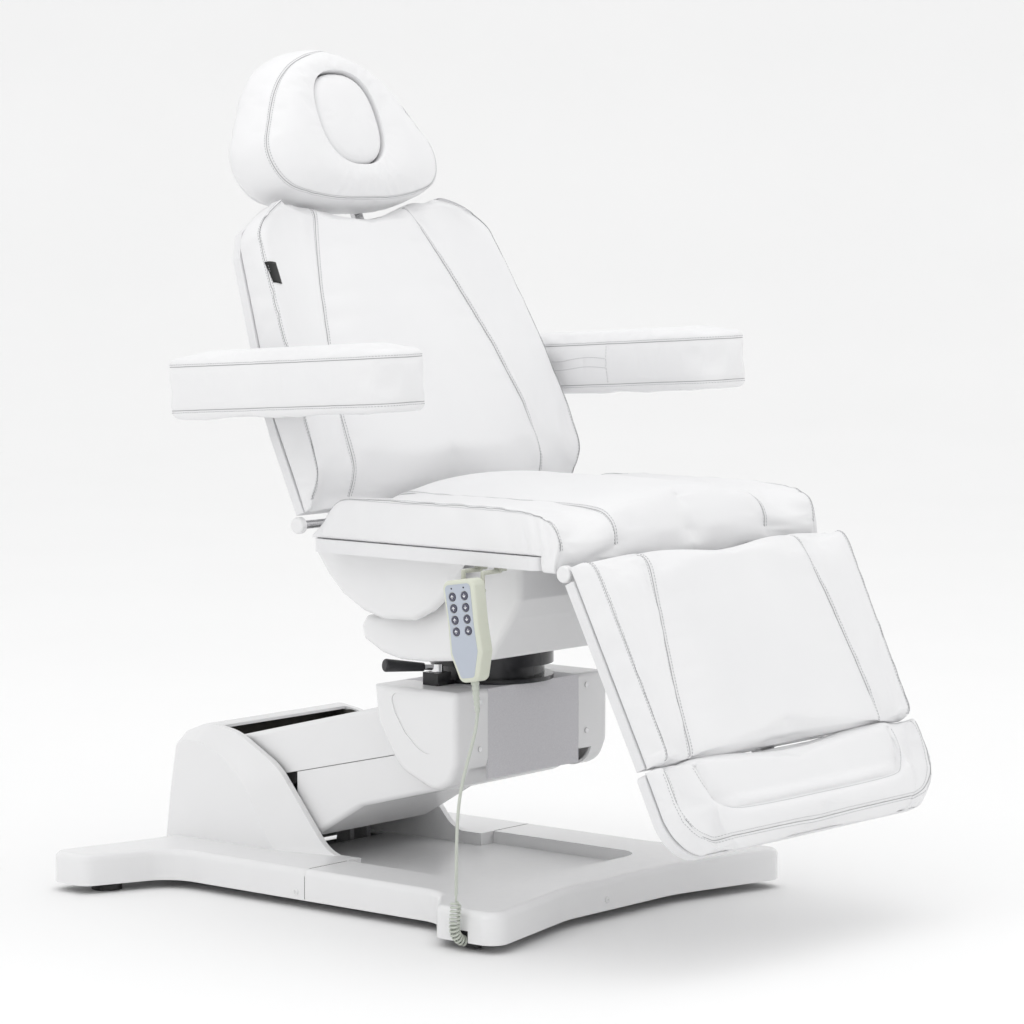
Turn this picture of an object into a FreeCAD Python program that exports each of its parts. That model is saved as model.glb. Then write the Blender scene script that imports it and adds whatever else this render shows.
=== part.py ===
import FreeCAD, Part
import math
import os

# Podiatry chair on an electric lift. Millimetres, +Z up, origin on the floor at the centre
# of the chair's plan. The sitter faces -Y, so the sitter's right hand side is -X.

# Shared clearances and overruns
seat_gap = 0.3
moving_gap = 2.0
running_gap = 0.05
cut_over = 40.0
shell_wall = 4.0
arc_side_share = 0.48
same_place = 1e-3
touching = 1e-6

# Swivel axis and the two ends of the lift arm
swivel_y = 34.0
arm_base_y = 400.0
arm_base_z = 150.0
arm_head_y = 38.0
arm_head_z = 232.0

# Base covers, in plan
base_clear = 12.0
base_top_z = 56.0
rail_half = 250.0
cover_seam_y = 166.0
rear_bar_half = 378.0
rear_bar_front_y = 478.0
rear_bar_rear_y = 557.0
rear_waist_y = 514.0
rear_waist_half = 200.0
rail_rear_y = 428.0
front_bar_half = 326.0
front_bar_rear_y = -146.0
front_bar_front_y = -253.0
front_waist_y = -204.0
front_waist_half = 120.0
rail_front_y = -87.0
bar_corner_r = 24.0
bar_sweep_r = 60.0
waist_r = 160.0
base_edge_r = 9.0
tray_half = 160.0
tray_floor_z = 38.0
tray_front_y = -116.0
tray_corner_r = 38.0
cord_slot_half = 13.0
cord_slot_top_z = 28.0
cord_slot_y = -188.5
cord_socket_half = 9.0
cord_socket_front_y = -204.0
cord_socket_low_z = 2.0
cord_socket_top_z = 26.0

# Wedge housing over the arm's rear pivot
housing_half = 165.0
housing_rim_half = 142.0
housing_front_y = 176.0
housing_rear_y = 526.0
housing_top_z = 225.0
housing_foot_z = 40.0
slot_half = 132.0
slot_rear_y = 437.0
pocket_rear_y = 468.0
housing_corner_r = 14.0
housing_crest_r = 40.0
housing_slope_r = 110.0
housing_side_shares = [(1.0, 0.0), (0.967, 0.47), (0.93, 0.85), (0.80, 0.87), (0.63, 0.73),
                       (0.52, 0.51), (0.445, 0.27), (0.395, 0.12), (0.34, 0.06), (0.33, 0.0)]
housing_rim_shares = [(1.0, 0.0), (0.975, 0.47), (0.95, 0.90), (0.81, 1.0), (0.645, 0.955),
                      (0.41, 0.72), (0.215, 0.28), (0.14, 0.12), (0.05, 0.07), (0.0, 0.0)]

# Steel base frame, under the covers
frame_z = 16.0
frame_rail_inner = 195.0
frame_rail_outer = 235.0
frame_front_y = -185.0
frame_tube = 34.0
frame_rear_y = 474.0
frame_rear_half = 345.0
frame_front_half = 300.0
bracket_inner = 107.0
bracket_wall = 8.0
bracket_half_y = 30.0
bracket_eye_r = 22.0
bracket_foot_z = 6.0
floor_hole_half = 122.0
floor_hole_front_y = 345.0
foot_pad_r = 22.0
foot_pad_h = 8.0
foot_stem_r = 6.0
foot_inset = 25.0

# Power inlet in the housing's rear wall
inlet_half = 14.0
inlet_height = 24.0
inlet_depth = 22.0
inlet_z = 80.0
inlet_flange = 3.0
inlet_pin_share = 0.25

# Lift arm
arm_half = 125.0
arm_rear_r = 60.0
arm_front_r = 66.0
arm_edge_r = 8.0
arm_lower_rear_y = 300.0
arm_belly_y = 262.0
arm_belly_z = 76.0
arm_waist_y = 173.0
arm_waist_z = 128.0
arm_part_drop = 6.0
arm_part_gap = 1.0
arm_slot_half = 24.0
arm_slot_rear_y = 92.0
arm_hole_r = 12.3
arm_rear_cut_share = 0.42
arm_cap_share = 0.2
beam_inner = 90.0
beam_wall = 10.0
beam_half_h = 22.0
beam_eye_r = 24.0
beam_tie_share = 0.45
beam_tie_v = 12.0
beam_tie_r = 9.0
base_shaft_r = 9.0
head_shaft_r = 12.0
head_shaft_half = 134.0

# Levelling link, parallel to the arm
link_drop = 38.0
link_half_w = 5.0
link_half_h = 8.0
link_eye_r = 12.5
link_pin_r = 7.0
link_lug_inner = 6.0
link_lug_wall = 6.0

# Lift actuator inside the arm, pushing on a pin of the base
lift_crank_r = 42.0
lift_crank_deg = 35.5
lift_x = 55.0
lift_pin_r = 7.0
lift_body_r = 18.0
lift_neck_r = 8.5
lift_body_start = 112.0
lift_body_end = 252.0
lift_stub_u = 272.0
lift_stub_r = 10.0
lift_stub_x = 33.0
lift_rod_r = 8.0
yoke_half = 15.0
yoke_thick = 20.0
lift_guide_share = 0.6
yoke_play = 2.4
yoke_side_play = 0.6
lift_lug_x = 68.0
lift_lug_wall = 8.0

# Carriage, the level block at the arm's front end
carriage_half = 168.0
carriage_rear_y = 109.0
carriage_front_y = -45.0
carriage_top_z = 315.0
carriage_low_z = 173.0
carriage_shares = [(1.0, 1.0), (0.96, 0.64), (0.70, 0.19), (0.27, 0.0), (0.08, 0.10),
                   (0.0, 0.30), (0.0, 1.0)]
carriage_corner_r = 13.0
carriage_sweep_r = 60.0
carriage_nose_r = 30.0
carriage_edge_r = 9.0
carriage_panel_half = 100.0
carriage_panel_low_z = 188.0
carriage_cap_inner = 134.6
carriage_recess_shares = [(0.80, 0.94), (0.74, 0.75), (0.62, 0.56), (0.47, 0.42), (0.34, 0.36),
                          (0.21, 0.43), (0.15, 0.64), (0.15, 0.94)]
carriage_recess_r = 22.0
carriage_recess_deep = 1.6
carriage_side_inner = 128.0
carriage_side_wall = 6.0
carriage_side_half_y = 40.0
carriage_side_low_z = 204.0
carriage_frame_z = 304.0
screw_r = 4.0
screw_head = 1.6
screw_x = 118.0
screw_low_z = 232.0
screw_high_z = 298.0

# Swivel ring, turntable and clamp
ring_base_r = 89.0
ring_base_h = 6.0
ring_hub_r = 76.0
ring_h = 22.7
spindle_r = 20.0
turntable_r = 89.0
turntable_z = 338.0
turntable_h = 22.7
turntable_seat_r = 76.0
turntable_hub_r = 36.0
turntable_floor_z = 388.0
turntable_plate_h = 6.0
clamp_x = -112.0
clamp_y = 39.0
clamp_base_half = 14.0
clamp_base_h = 12.0
clamp_hub_r = 9.0
clamp_hub_h = 11.0
clamp_rod_r = 4.0
clamp_reach = 22.0
grip_length = 62.0
grip_small_r = 6.0
grip_big_r = 9.5
grip_end_share = 1.01
clamp_deg = 160.0
clamp_rise_deg = 6.0

# Belly cover, the lower bowl that turns with the seat
belly_z = 363.0
belly_top_z = 510.5
belly_front_y = -205.0
belly_rear_y = 88.0
belly_half = 222.0
belly_corner_r = 16.0
belly_edge_r = 10.0
belly_mouth_share = 0.522
belly_mouth_inset = 52.0
belly_lip_share = 0.66
belly_shares = [(0.0, 1.0), (0.0, belly_lip_share), (0.05, 0.48), (0.19, 0.082), (0.60, 0.0),
                (0.75, 0.0), (0.86, 0.046), (0.975, 0.165), (0.99, 0.284), (0.96, 0.384),
                (0.835, 0.421), (0.835, belly_mouth_share), (0.64, 1.0)]

# Tilt pivot and tilt actuator
tilt_y = 50.0
tilt_z = 478.0
tilt_plate_x = 172.0
tilt_plate_wall = 8.0
tilt_plate_half_y = 16.0
tilt_eye_r = 16.0
tilt_pin_r = 8.0
tilt_lug_x = 160.0
tilt_lever = 170.0
tilt_deg = 12.0
tilt_x = -70.0
tilt_body_r = 18.0
tilt_body_top_z = 440.0
tilt_rod_r = 8.0
tilt_fork_half = 14.0
tilt_fork_thick = 16.0
tilt_peg_r = 6.0
tilt_drop_wall = 8.0

# Seat
seat_board_half = 300.0
seat_board_front_y = -300.0
seat_board_rear_y = 104.0
seat_board_z = 513.0
seat_board_h = 18.0
seat_board_corner_r = 16.0
seat_front_y = -324.0
seat_rear_y = 111.0
seat_half = 298.0
seat_thick = 62.0
seat_crown = 12.0
seat_seam_half = 165.0
seat_seam_dip = 9.0
seat_panel_crown = 6.0
seat_side_pull = 3.0
seat_rear_shares = [(1.0, 0.03), (0.965, 0.36), (0.93, 0.66), (0.895, 0.90), (0.86, 1.0)]
seat_flat_shares = [0.62, 0.38]
seat_front_shares = [(0.19, 1.0), (0.115, 0.955), (0.06, 0.83), (0.025, 0.62), (0.006, 0.36),
                     (0.0, 0.04)]
seat_pan_half = 170.0
seat_pan_z = 500.5
seat_pan_h = 12.2

# Hinges of the backrest and the legrest
back_hinge_y = 136.0
back_hinge_z = 546.0
leg_hinge_y = -338.0
leg_hinge_z = 511.0
hinge_pin_r = 6.0
hinge_eye_r = 12.0
seat_eye_inner = 130.0
seat_eye_wide = 16.0
other_eye_gap = 3.0
hinge_shaft_half = 285.0
hinge_cap_r = 11.5
hinge_cap_h = 10.0
hinge_cap_edge_share = 0.333333

# Backrest, laid out in its own plane: distance up from the hinge and height off the board
back_deg = 67.0
back_board_start = 14.0
back_board_top = 467.0
back_board_thick = 14.0
back_half = 294.0
back_top_half = 258.0
back_taper_start = 150.0
back_shoulder_long = 72.0
back_shoulder_start = back_board_top - back_shoulder_long
back_thick = 50.0
back_crown = 9.0
back_seam_dip = 13.0
back_panel_dip = 14.0
back_seam_low_half = 206.0
back_seam_top_half = 95.0
back_side_pull = 3.0
back_dip_half = 150.0
back_dip_deep = 24.0
back_board_steps = 12
back_shoulder_share = 1.15
back_shoulder_power = 2.0
back_low_sink_share = 0.4
back_low_shares = [(0.0, 0.05), (0.033, 0.42), (0.066, 0.76), (0.105, 1.0)]
back_mid_shares = [0.30, 0.50, 0.70, 0.86]
back_top_shares = [(0.93, 0.985), (0.965, 0.93), (0.988, 0.80), (1.0, 0.62)]
spine_half = 75.0
spine_top_gap = 40.0
spine_top = back_board_top - spine_top_gap
spine_thick = 6.0
spine_foot = 40.0
spine_foot_half = 166.0
arm_bar_low = 188.0
arm_bar_high = 212.0
arm_bar_half = 299.0
sleeve_x = 60.0
sleeve_half = 14.0
sleeve_deep = 36.0
sleeve_long = 105.0
sleeve_top_gap = 25.0
sleeve_end = back_board_top - sleeve_top_gap
sleeve_start = sleeve_end - sleeve_long
bar_half = 9.0
bar_thick = 8.0
bar_back = 23.0
bar_overrun = 28.0
bar_start = sleeve_start - bar_overrun
bar_play = 0.5

# Headrest
head_hinge_rise = 40.0
head_hinge_d = back_board_top + head_hinge_rise
head_hinge_n = -29.0
head_tube_r = 6.0
head_tube_half = 71.0
head_pin_r = 5.0
head_pin_half = 86.0
head_lug_x = 74.0
head_lug_wide = 10.0
head_lug_r = 12.0
head_drop = 40.0
head_low_d = head_hinge_d - head_drop
head_tall = 241.0
head_high_d = head_low_d + head_tall
head_half = 215.0
head_board_thick = 8.0
head_base_n = -20.0
head_board_inset = 26.0
head_outline_shares = [(0.45, 0.0), (0.88, 0.10), (1.0, 0.32), (0.47, 1.0)]
head_corner_shares = [0.60, 0.22, 0.22, 0.76]
head_low_pull_share = 0.10
head_high_pull_share = 0.45
head_layers = [(0.0, 0.085), (0.12, 0.02), (0.25, 0.0), (0.45, 0.025), (0.68, 0.07),
               (0.85, 0.125), (0.95, 0.175), (1.0, 0.225)]
head_thick = 74.0
face_hole_rise = 118.0
face_hole_d = head_low_d + face_hole_rise
face_half_w = 62.0
face_half_l = 72.0
face_gap = 1.0
face_crown = 5.0
face_back_gap = 4.0

# Armrests
armrest_x = 302.0
armrest_wide = 108.0
armrest_length = 417.0
armrest_rear_y = 288.0
armrest_height = 86.0
armrest_rear_z = 733.0
armrest_pitch_deg = 3.7
armrest_corner_r = 40.0
armrest_layers = [(0.0, 0.11), (0.07, 0.035), (0.17, 0.0), (0.5, 0.012), (0.83, 0.0),
                  (0.93, 0.035), (1.0, 0.11)]
armrest_pin_r = 10.0
armrest_pin_deep = 28.0
armrest_boss_r = 16.0

# Legrest and footrest, laid out like the backrest, distances down from the leg hinge
leg_deg = 64.0
leg_board_start = 15.0
leg_board_end = 276.0
leg_board_thick = 14.0
leg_pad_start = 6.0
leg_half = 298.0
leg_low_half = 292.0
leg_thick = 33.0
leg_crown = 9.0
leg_seam_dip = 6.0
leg_panel_dip = 2.0
leg_seam_high_half = 173.0
leg_seam_low_half = 215.0
leg_side_pull = 2.5
leg_high_shares = [(0.0, 0.60), (0.012, 0.84), (0.04, 0.98), (0.10, 1.0)]
leg_mid_shares = [0.35, 0.65]
leg_low_shares = [(0.93, 1.0), (0.975, 0.93), (0.994, 0.78), (1.0, 0.5)]
leg_plate_half = 125.0
leg_plate_thick = 6.0
leg_plate_start = 26.0
sleeve_wall = 4.0
slide_half = 15.0
slide_thick = 8.0
slide_gap = 0.5
slide_start = 92.0
slide_end = 396.0
foot_start = 283.0
foot_end = 403.0
foot_half = 298.0
foot_corner_r = 62.0
foot_layers = [(0.0, 0.035), (0.10, 0.006), (0.28, 0.0), (0.62, 0.012), (0.82, 0.055),
               (0.94, 0.115), (1.0, 0.19)]
foot_bolster = 56.0
foot_side_bolster = 84.0
foot_groove = 9.0
foot_groove_deep = 9.0
foot_thick = 38.0

# Skirt under the seat board
skirt_half = 250.0
skirt_front_y = -136.0
skirt_rear_y = 152.0
skirt_low_z = 421.0
skirt_corner_r = 12.0
skirt_edge_r = 10.0
skirt_mouth_inset = 10.0
skirt_shares = [(0.0, 1.0), (0.08, 0.66), (0.155, 0.40), (0.23, 0.20), (0.35, 0.02), (0.55, 0.0),
                (0.67, 0.10), (0.80, 0.32), (0.895, 0.60), (0.965, 0.90), (0.985, 1.0)]
skirt_open_rear_y = 62.0
skirt_open_half = 237.0
skirt_slot_rear_y = 80.0

# Handset, its holder and its cord
handset_x = -346.0
handset_y = -200.0
handset_top_z = 499.0
handset_turn_deg = -90.0
handset_lean_deg = 8.7
handset_wide = 56.0
handset_tall = 136.0
handset_deep = 26.0
handset_corner_r = 11.0
handset_edge_r = 5.0
handset_outline_shares = [(-0.5, 0.0), (0.5, 0.0), (0.47, -0.45), (0.5, -0.72), (0.27, -1.0),
                          (-0.27, -1.0), (-0.5, -0.72), (-0.47, -0.45)]
button_r = 5.6
button_gap = 0.4
button_deep = 3.0
button_proud = 1.2
button_edge_r = 0.6
button_columns = [-10.5, 10.5]
button_top = 22.0
button_pitch = 15.4
button_rows = 4
hook_wide = 18.0
hook_wall = 3.0
hook_reach = 11.0
hook_drop = 14.0
hook_top = 12.0
holder_bar_r = 3.0
holder_bar_half = 20.0
holder_foot_x = -280.0
relief_big_r = 5.5
relief_small_r = 3.2
relief_ribs = 6
relief_rib_share = 0.6
relief_neck_share = 0.82
cord_r = 2.2
cord_bend_share = 0.45
curl_wire_r = 1.6
curl_r = 6.3
curl_turns = 13
curl_lead = 5.0
curl_steps = 4
curl_checks = 24
curl_apart = 0.75

# Cord route from the strain relief down to the curly part, and on to the socket in the base
cord_points = [(-333.0, -225.0, 324.0), (-333.4, -223.2, 306.0), (-334.2, -218.4, 286.0),
               (-335.2, -211.0, 262.0), (-336.2, -203.2, 236.0), (-337.2, -197.0, 208.0),
               (-338.0, -193.8, 176.0), (-338.4, -192.8, 142.0), (-338.6, -192.5, 108.0),
               (-338.5, -191.8, 77.0)]
curl_points = [(-338.5, -191.8, 77.0), (-338.5, -191.5, 63.0), (-339.3, -190.4, 47.0),
               (-339.2, -189.0, 33.0), (-335.2, -188.0, 22.8), (-327.8, -188.6, 15.6),
               (-318.4, -189.8, 12.0), (-309.5, -190.9, 11.6)]


def vec(x, y, z):
    return FreeCAD.Vector(x, y, z)


X_AXIS = vec(1, 0, 0)
Y_AXIS = vec(0, 1, 0)
Z_AXIS = vec(0, 0, 1)


# Basic solids and outlines
def corner_arc(before, corner, after, radius):
    """Tangent arc that rounds one corner of an outline."""
    to_before = (before - corner).normalize()
    to_after = (after - corner).normalize()
    half = to_before.getAngle(to_after) / 2
    reach = radius / math.tan(half)
    start = corner + to_before * reach
    end = corner + to_after * reach
    middle_way = (to_before + to_after).normalize()
    middle = corner + middle_way * (radius / math.sin(half) - radius)
    return start, middle, end


def widest_radius(before, corner, after):
    """Largest radius whose arc stays within half of either side of a corner."""
    half = (before - corner).getAngle(after - corner) / 2
    side = min(before.distanceToPoint(corner), corner.distanceToPoint(after))
    return side * arc_side_share * math.tan(half)


def drawn_in(points, inset):
    """The same flat outline with every side moved inwards, corner for corner."""
    area = sum(a[0] * b[1] - b[0] * a[1] for a, b in zip(points, points[1:] + points[:1]))
    turn = 1 if area > 0 else -1
    moved = []
    for before, corner, after in zip(points[-1:] + points[:-1], points, points[1:] + points[:1]):
        normals = []
        for start, end in ((before, corner), (corner, after)):
            length = math.hypot(end[0] - start[0], end[1] - start[1])
            normals.append((-turn * (end[1] - start[1]) / length,
                            turn * (end[0] - start[0]) / length))
        (ax, ay), (bx, by) = normals
        scale = inset / (1 + ax * bx + ay * by)
        moved.append((corner[0] + (ax + bx) * scale, corner[1] + (ay + by) * scale))
    return moved


def rounded_wire(points, radii):
    """Closed wire through the points, each corner rounded by its own radius."""
    count = len(points)
    if not isinstance(radii, list):
        radii = [radii] * count
    corners = []
    for i in range(count):
        if radii[i] > 0:
            before, corner, after = points[i - 1], points[i], points[(i + 1) % count]
            radius = min(radii[i], widest_radius(before, corner, after))
            corners.append(corner_arc(before, corner, after, radius))
        else:
            corners.append((points[i], None, points[i]))
    edges = []
    for i in range(count):
        start, middle, end = corners[i]
        following = corners[(i + 1) % count][0]
        if middle is not None:
            edges.append(Part.Arc(start, middle, end).toShape())
        if end.distanceToPoint(following) > touching:
            edges.append(Part.LineSegment(end, following).toShape())
    return Part.Wire(edges)


def extrude(wire, direction):
    return Part.Face(wire).extrude(direction)


def side_wire(points, x, radii=0):
    return rounded_wire([vec(x, y, z) for y, z in points], radii)


def side_prism(points, x0, x1, radii=0):
    """Outline in the YZ plane, extruded along X."""
    return extrude(side_wire(points, x0, radii), vec(x1 - x0, 0, 0))


def plan_prism(points, z0, z1, radii=0):
    """Outline in the XY plane, extruded along Z."""
    return extrude(rounded_wire([vec(x, y, z0) for x, y in points], radii), vec(0, 0, z1 - z0))


def inner_side_prism(points, x0, x1, radii, inset):
    """The same outline drawn in by a wall, extruded along X."""
    return side_prism(drawn_in(points, inset), x0, x1, radii)


def box(x0, x1, y0, y1, z0, z1):
    return Part.makeBox(x1 - x0, y1 - y0, z1 - z0, vec(x0, y0, z0))


def both_sides(x0, x1, y0, y1, z0, z1):
    return box(x0, x1, y0, y1, z0, z1).fuse(box(-x1, -x0, y0, y1, z0, z1))


def rod_x(x0, x1, y, z, radius):
    return Part.makeCylinder(radius, x1 - x0, vec(x0, y, z), X_AXIS)


def rod_z(x, y, z0, z1, radius):
    return Part.makeCylinder(radius, z1 - z0, vec(x, y, z0), Z_AXIS)


def rod_between(start, end, radius):
    way = end - start
    return Part.makeCylinder(radius, way.Length, start, way)


def place(shape, y, z, degrees=0):
    """Turn a solid about X, then move it in the YZ plane."""
    moved = shape.copy()
    moved.Placement = FreeCAD.Placement(vec(0, y, z), FreeCAD.Rotation(X_AXIS, degrees))
    return moved


def mirror_x(shape):
    return shape.mirror(vec(0, 0, 0), X_AXIS)


def share_points(shares, y0, length, z0, height):
    return [(y0 + length * a, z0 + height * b) for a, b in shares]


def mirrored(points):
    """Close a half outline, drawn on the +X side, across the middle."""
    return points + [(-x, y) for x, y in reversed(points)]


def bar_plate(p0, p1, half_height, eye_r, x0, x1):
    """Flat bar with a round eye at each end, lying in the YZ plane."""
    way = vec(0, p1[0] - p0[0], p1[1] - p0[1])
    side = vec(0, -way.z, way.y).normalize() * half_height
    start = vec(x0, p0[0], p0[1])
    corners = [start + side, start - side, start + way - side, start + way + side]
    bar = extrude(rounded_wire(corners, 0), vec(x1 - x0, 0, 0))
    bar = bar.fuse(rod_x(x0, x1, p0[0], p0[1], eye_r))
    return bar.fuse(rod_x(x0, x1, p1[0], p1[1], eye_r))


def round_edges(shape, radius, wanted):
    return shape.makeFillet(radius, [edge for edge in shape.Edges if wanted(edge)])


def at_x(value):
    return lambda edge: all(abs(v.Point.x - value) < same_place for v in edge.Vertexes)


def at_z(value):
    return lambda edge: all(abs(v.Point.z - value) < same_place for v in edge.Vertexes)


def rounded_sides(shape, half, radius, top_z=math.inf):
    """Round the edges of both outer side faces, apart from an edge along a flat top."""
    for x in (half, -half):
        shape = round_edges(shape, radius, lambda e: at_x(x)(e) and not at_z(top_z)(e))
    return shape


def save(name, shapes):
    if not isinstance(shapes, list):
        shapes = [shapes]
    solids = []
    for shape in shapes:
        solids.extend(shape.removeSplitter().Solids)
    for solid in solids:
        if not solid.isValid() or solid.Volume <= 0:
            print("check", name)
    Part.makeCompound(solids).exportStep("parts/" + name + ".step")


# Upholstery
def pad_section(u, base, half, side, crown, seam_half, seam, panel, pull):
    """One cross-section of a pad: a bolster on each side of a recessed centre panel."""
    side_mid = vec(half + pull, u, base + side / 2)
    outer = (half + seam_half) / 2
    points = [vec(-half, u, base), vec(half, u, base), vec(half - pull, u, base + side),
              vec(seam_half, u, base + seam), vec(-seam_half, u, base + seam),
              vec(pull - half, u, base + side)]
    edges = [Part.LineSegment(points[0], points[1]).toShape(),
             Part.Arc(points[1], side_mid, points[2]).toShape(),
             Part.Arc(points[2], vec(outer, u, base + crown), points[3]).toShape(),
             Part.Arc(points[3], vec(0, u, base + panel), points[4]).toShape(),
             Part.Arc(points[4], vec(-outer, u, base + crown), points[5]).toShape(),
             Part.Arc(points[5], vec(-side_mid.x, u, side_mid.z), points[0]).toShape()]
    return Part.Wire(edges)


def layered_pad(outline, layers, base, height, span):
    """Pad built up from one plan outline that draws in by a share of the span at each layer."""
    wires = [outline(base + height * rise, span * inset) for rise, inset in layers]
    return Part.makeLoft(wires, True, True)


# Base
def rear_plan(inset=0):
    return mirrored([(rail_half - inset, cover_seam_y + inset),
                     (rail_half - inset, rail_rear_y + inset),
                     (rear_bar_half - inset, rear_bar_front_y + inset),
                     (rear_bar_half - inset, rear_bar_rear_y - inset),
                     (rear_waist_half - inset, rear_waist_y - inset)])


def front_plan(inset=0):
    return mirrored([(front_waist_half - inset, front_waist_y + inset),
                     (front_bar_half - inset, front_bar_front_y + inset),
                     (front_bar_half - inset, front_bar_rear_y - inset),
                     (rail_half - inset, rail_front_y - inset),
                     (rail_half - inset, cover_seam_y - seat_gap - inset)])


def rear_plan_radii(inset=0):
    half = [0, bar_sweep_r + inset, bar_corner_r - inset, bar_corner_r - inset, waist_r]
    return half + half[::-1]


def front_plan_radii(inset=0):
    half = [waist_r, bar_corner_r - inset, bar_corner_r - inset, bar_sweep_r + inset, 0]
    return half + half[::-1]


def housing_loft(inset):
    """Wedge with a wide facet between each side and the rim."""
    length = housing_rear_y - housing_front_y
    height = housing_top_z - housing_foot_z
    side = share_points(housing_side_shares, housing_front_y, length, housing_foot_z, height)
    rim = share_points(housing_rim_shares, housing_front_y, length, housing_foot_z, height)
    radii = ([0] + [housing_corner_r] * 2 + [housing_crest_r] + [housing_slope_r] * 4
             + [0, 0])
    wires = []
    for x, points in ((-housing_half, side), (-housing_rim_half, rim),
                      (housing_rim_half, rim), (housing_half, side)):
        sign = 1 if x > 0 else -1
        wires.append(side_wire(drawn_in(points, inset), x - sign * inset, radii))
    return Part.makeLoft(wires, True, True)


def tray_block(grow, rear_y, z0, z1):
    plan = mirrored([(tray_half + grow, tray_front_y - grow), (tray_half + grow, rear_y)])
    radii = [tray_corner_r + grow, 0, 0, tray_corner_r + grow]
    return plan_prism(plan, z0, z1, radii)


def rail_doors():
    """Openings through which the frame's rails run from one cover into the other."""
    return both_sides(tray_half + shell_wall, rail_half - shell_wall, cover_seam_y - cut_over,
                      cover_seam_y + cut_over, base_clear - cut_over, base_top_z - shell_wall)


def front_cover():
    """Front half of the base: two rails, the front bar and the sunk tray between them."""
    cover = plan_prism(front_plan(), base_clear, base_top_z, front_plan_radii())
    cover = round_edges(cover, base_edge_r, lambda e: at_z(base_top_z)(e) and not at_seam(e))
    rear_y = cover_seam_y + cut_over
    cover = cover.cut(tray_block(0, rear_y, tray_floor_z, base_top_z + cut_over))
    inner = plan_prism(front_plan(shell_wall), base_clear - cut_over, base_top_z - shell_wall,
                       front_plan_radii(shell_wall))
    inner = inner.cut(tray_block(shell_wall, rear_y, tray_floor_z - shell_wall, base_top_z))
    cover = cover.cut(inner)
    slot = box(-front_bar_half - cut_over, -front_bar_half + cut_over,
               cord_slot_y - cord_slot_half, cord_slot_y + cord_slot_half,
               base_clear - cut_over, cord_slot_top_z)
    return cover.cut([slot, rail_doors()])


def at_seam(edge):
    near = cover_seam_y - seat_gap
    return all(abs(v.Point.y - near) < same_place or abs(v.Point.y - cover_seam_y) < same_place
               for v in edge.Vertexes)


def rear_cover():
    """Rear half of the base with the wedge housing, in one moulding."""
    cover = plan_prism(rear_plan(), base_clear, base_top_z, rear_plan_radii())
    cover = round_edges(cover, base_edge_r, lambda e: at_z(base_top_z)(e) and not at_seam(e))
    cover = cover.fuse(housing_loft(0))
    inner = plan_prism(rear_plan(shell_wall), base_clear - cut_over, base_top_z - shell_wall,
                       rear_plan_radii(shell_wall))
    inner = inner.fuse(housing_loft(shell_wall))
    walls = both_sides(slot_half, slot_half + shell_wall, housing_front_y - cut_over,
                       pocket_rear_y + shell_wall, tray_floor_z - shell_wall, housing_top_z)
    floor = box(-slot_half - shell_wall, slot_half + shell_wall, cover_seam_y - cut_over,
                pocket_rear_y + shell_wall, tray_floor_z - shell_wall, tray_floor_z)
    rear_wall = box(-slot_half - shell_wall, slot_half + shell_wall, pocket_rear_y,
                    pocket_rear_y + shell_wall, tray_floor_z, housing_top_z)
    low_walls = both_sides(tray_half, tray_half + shell_wall, cover_seam_y - cut_over,
                           housing_front_y + cut_over, tray_floor_z - shell_wall, base_top_z)
    cover = cover.cut(inner.cut(walls.fuse([floor, rear_wall])))
    cover = cover.cut(box(-slot_half, slot_half, cover_seam_y - cut_over, slot_rear_y,
                          tray_floor_z, housing_top_z + cut_over))
    hole = box(-floor_hole_half, floor_hole_half, floor_hole_front_y, slot_rear_y,
               base_clear, tray_floor_z + shell_wall)
    cover = cover.cut(hole)
    inlet_hole = box(-inlet_half, inlet_half, housing_rear_y - inlet_depth,
                     housing_rear_y + cut_over, inlet_z, inlet_z + inlet_height)
    return cover.cut([inlet_hole, rail_doors()])


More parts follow.
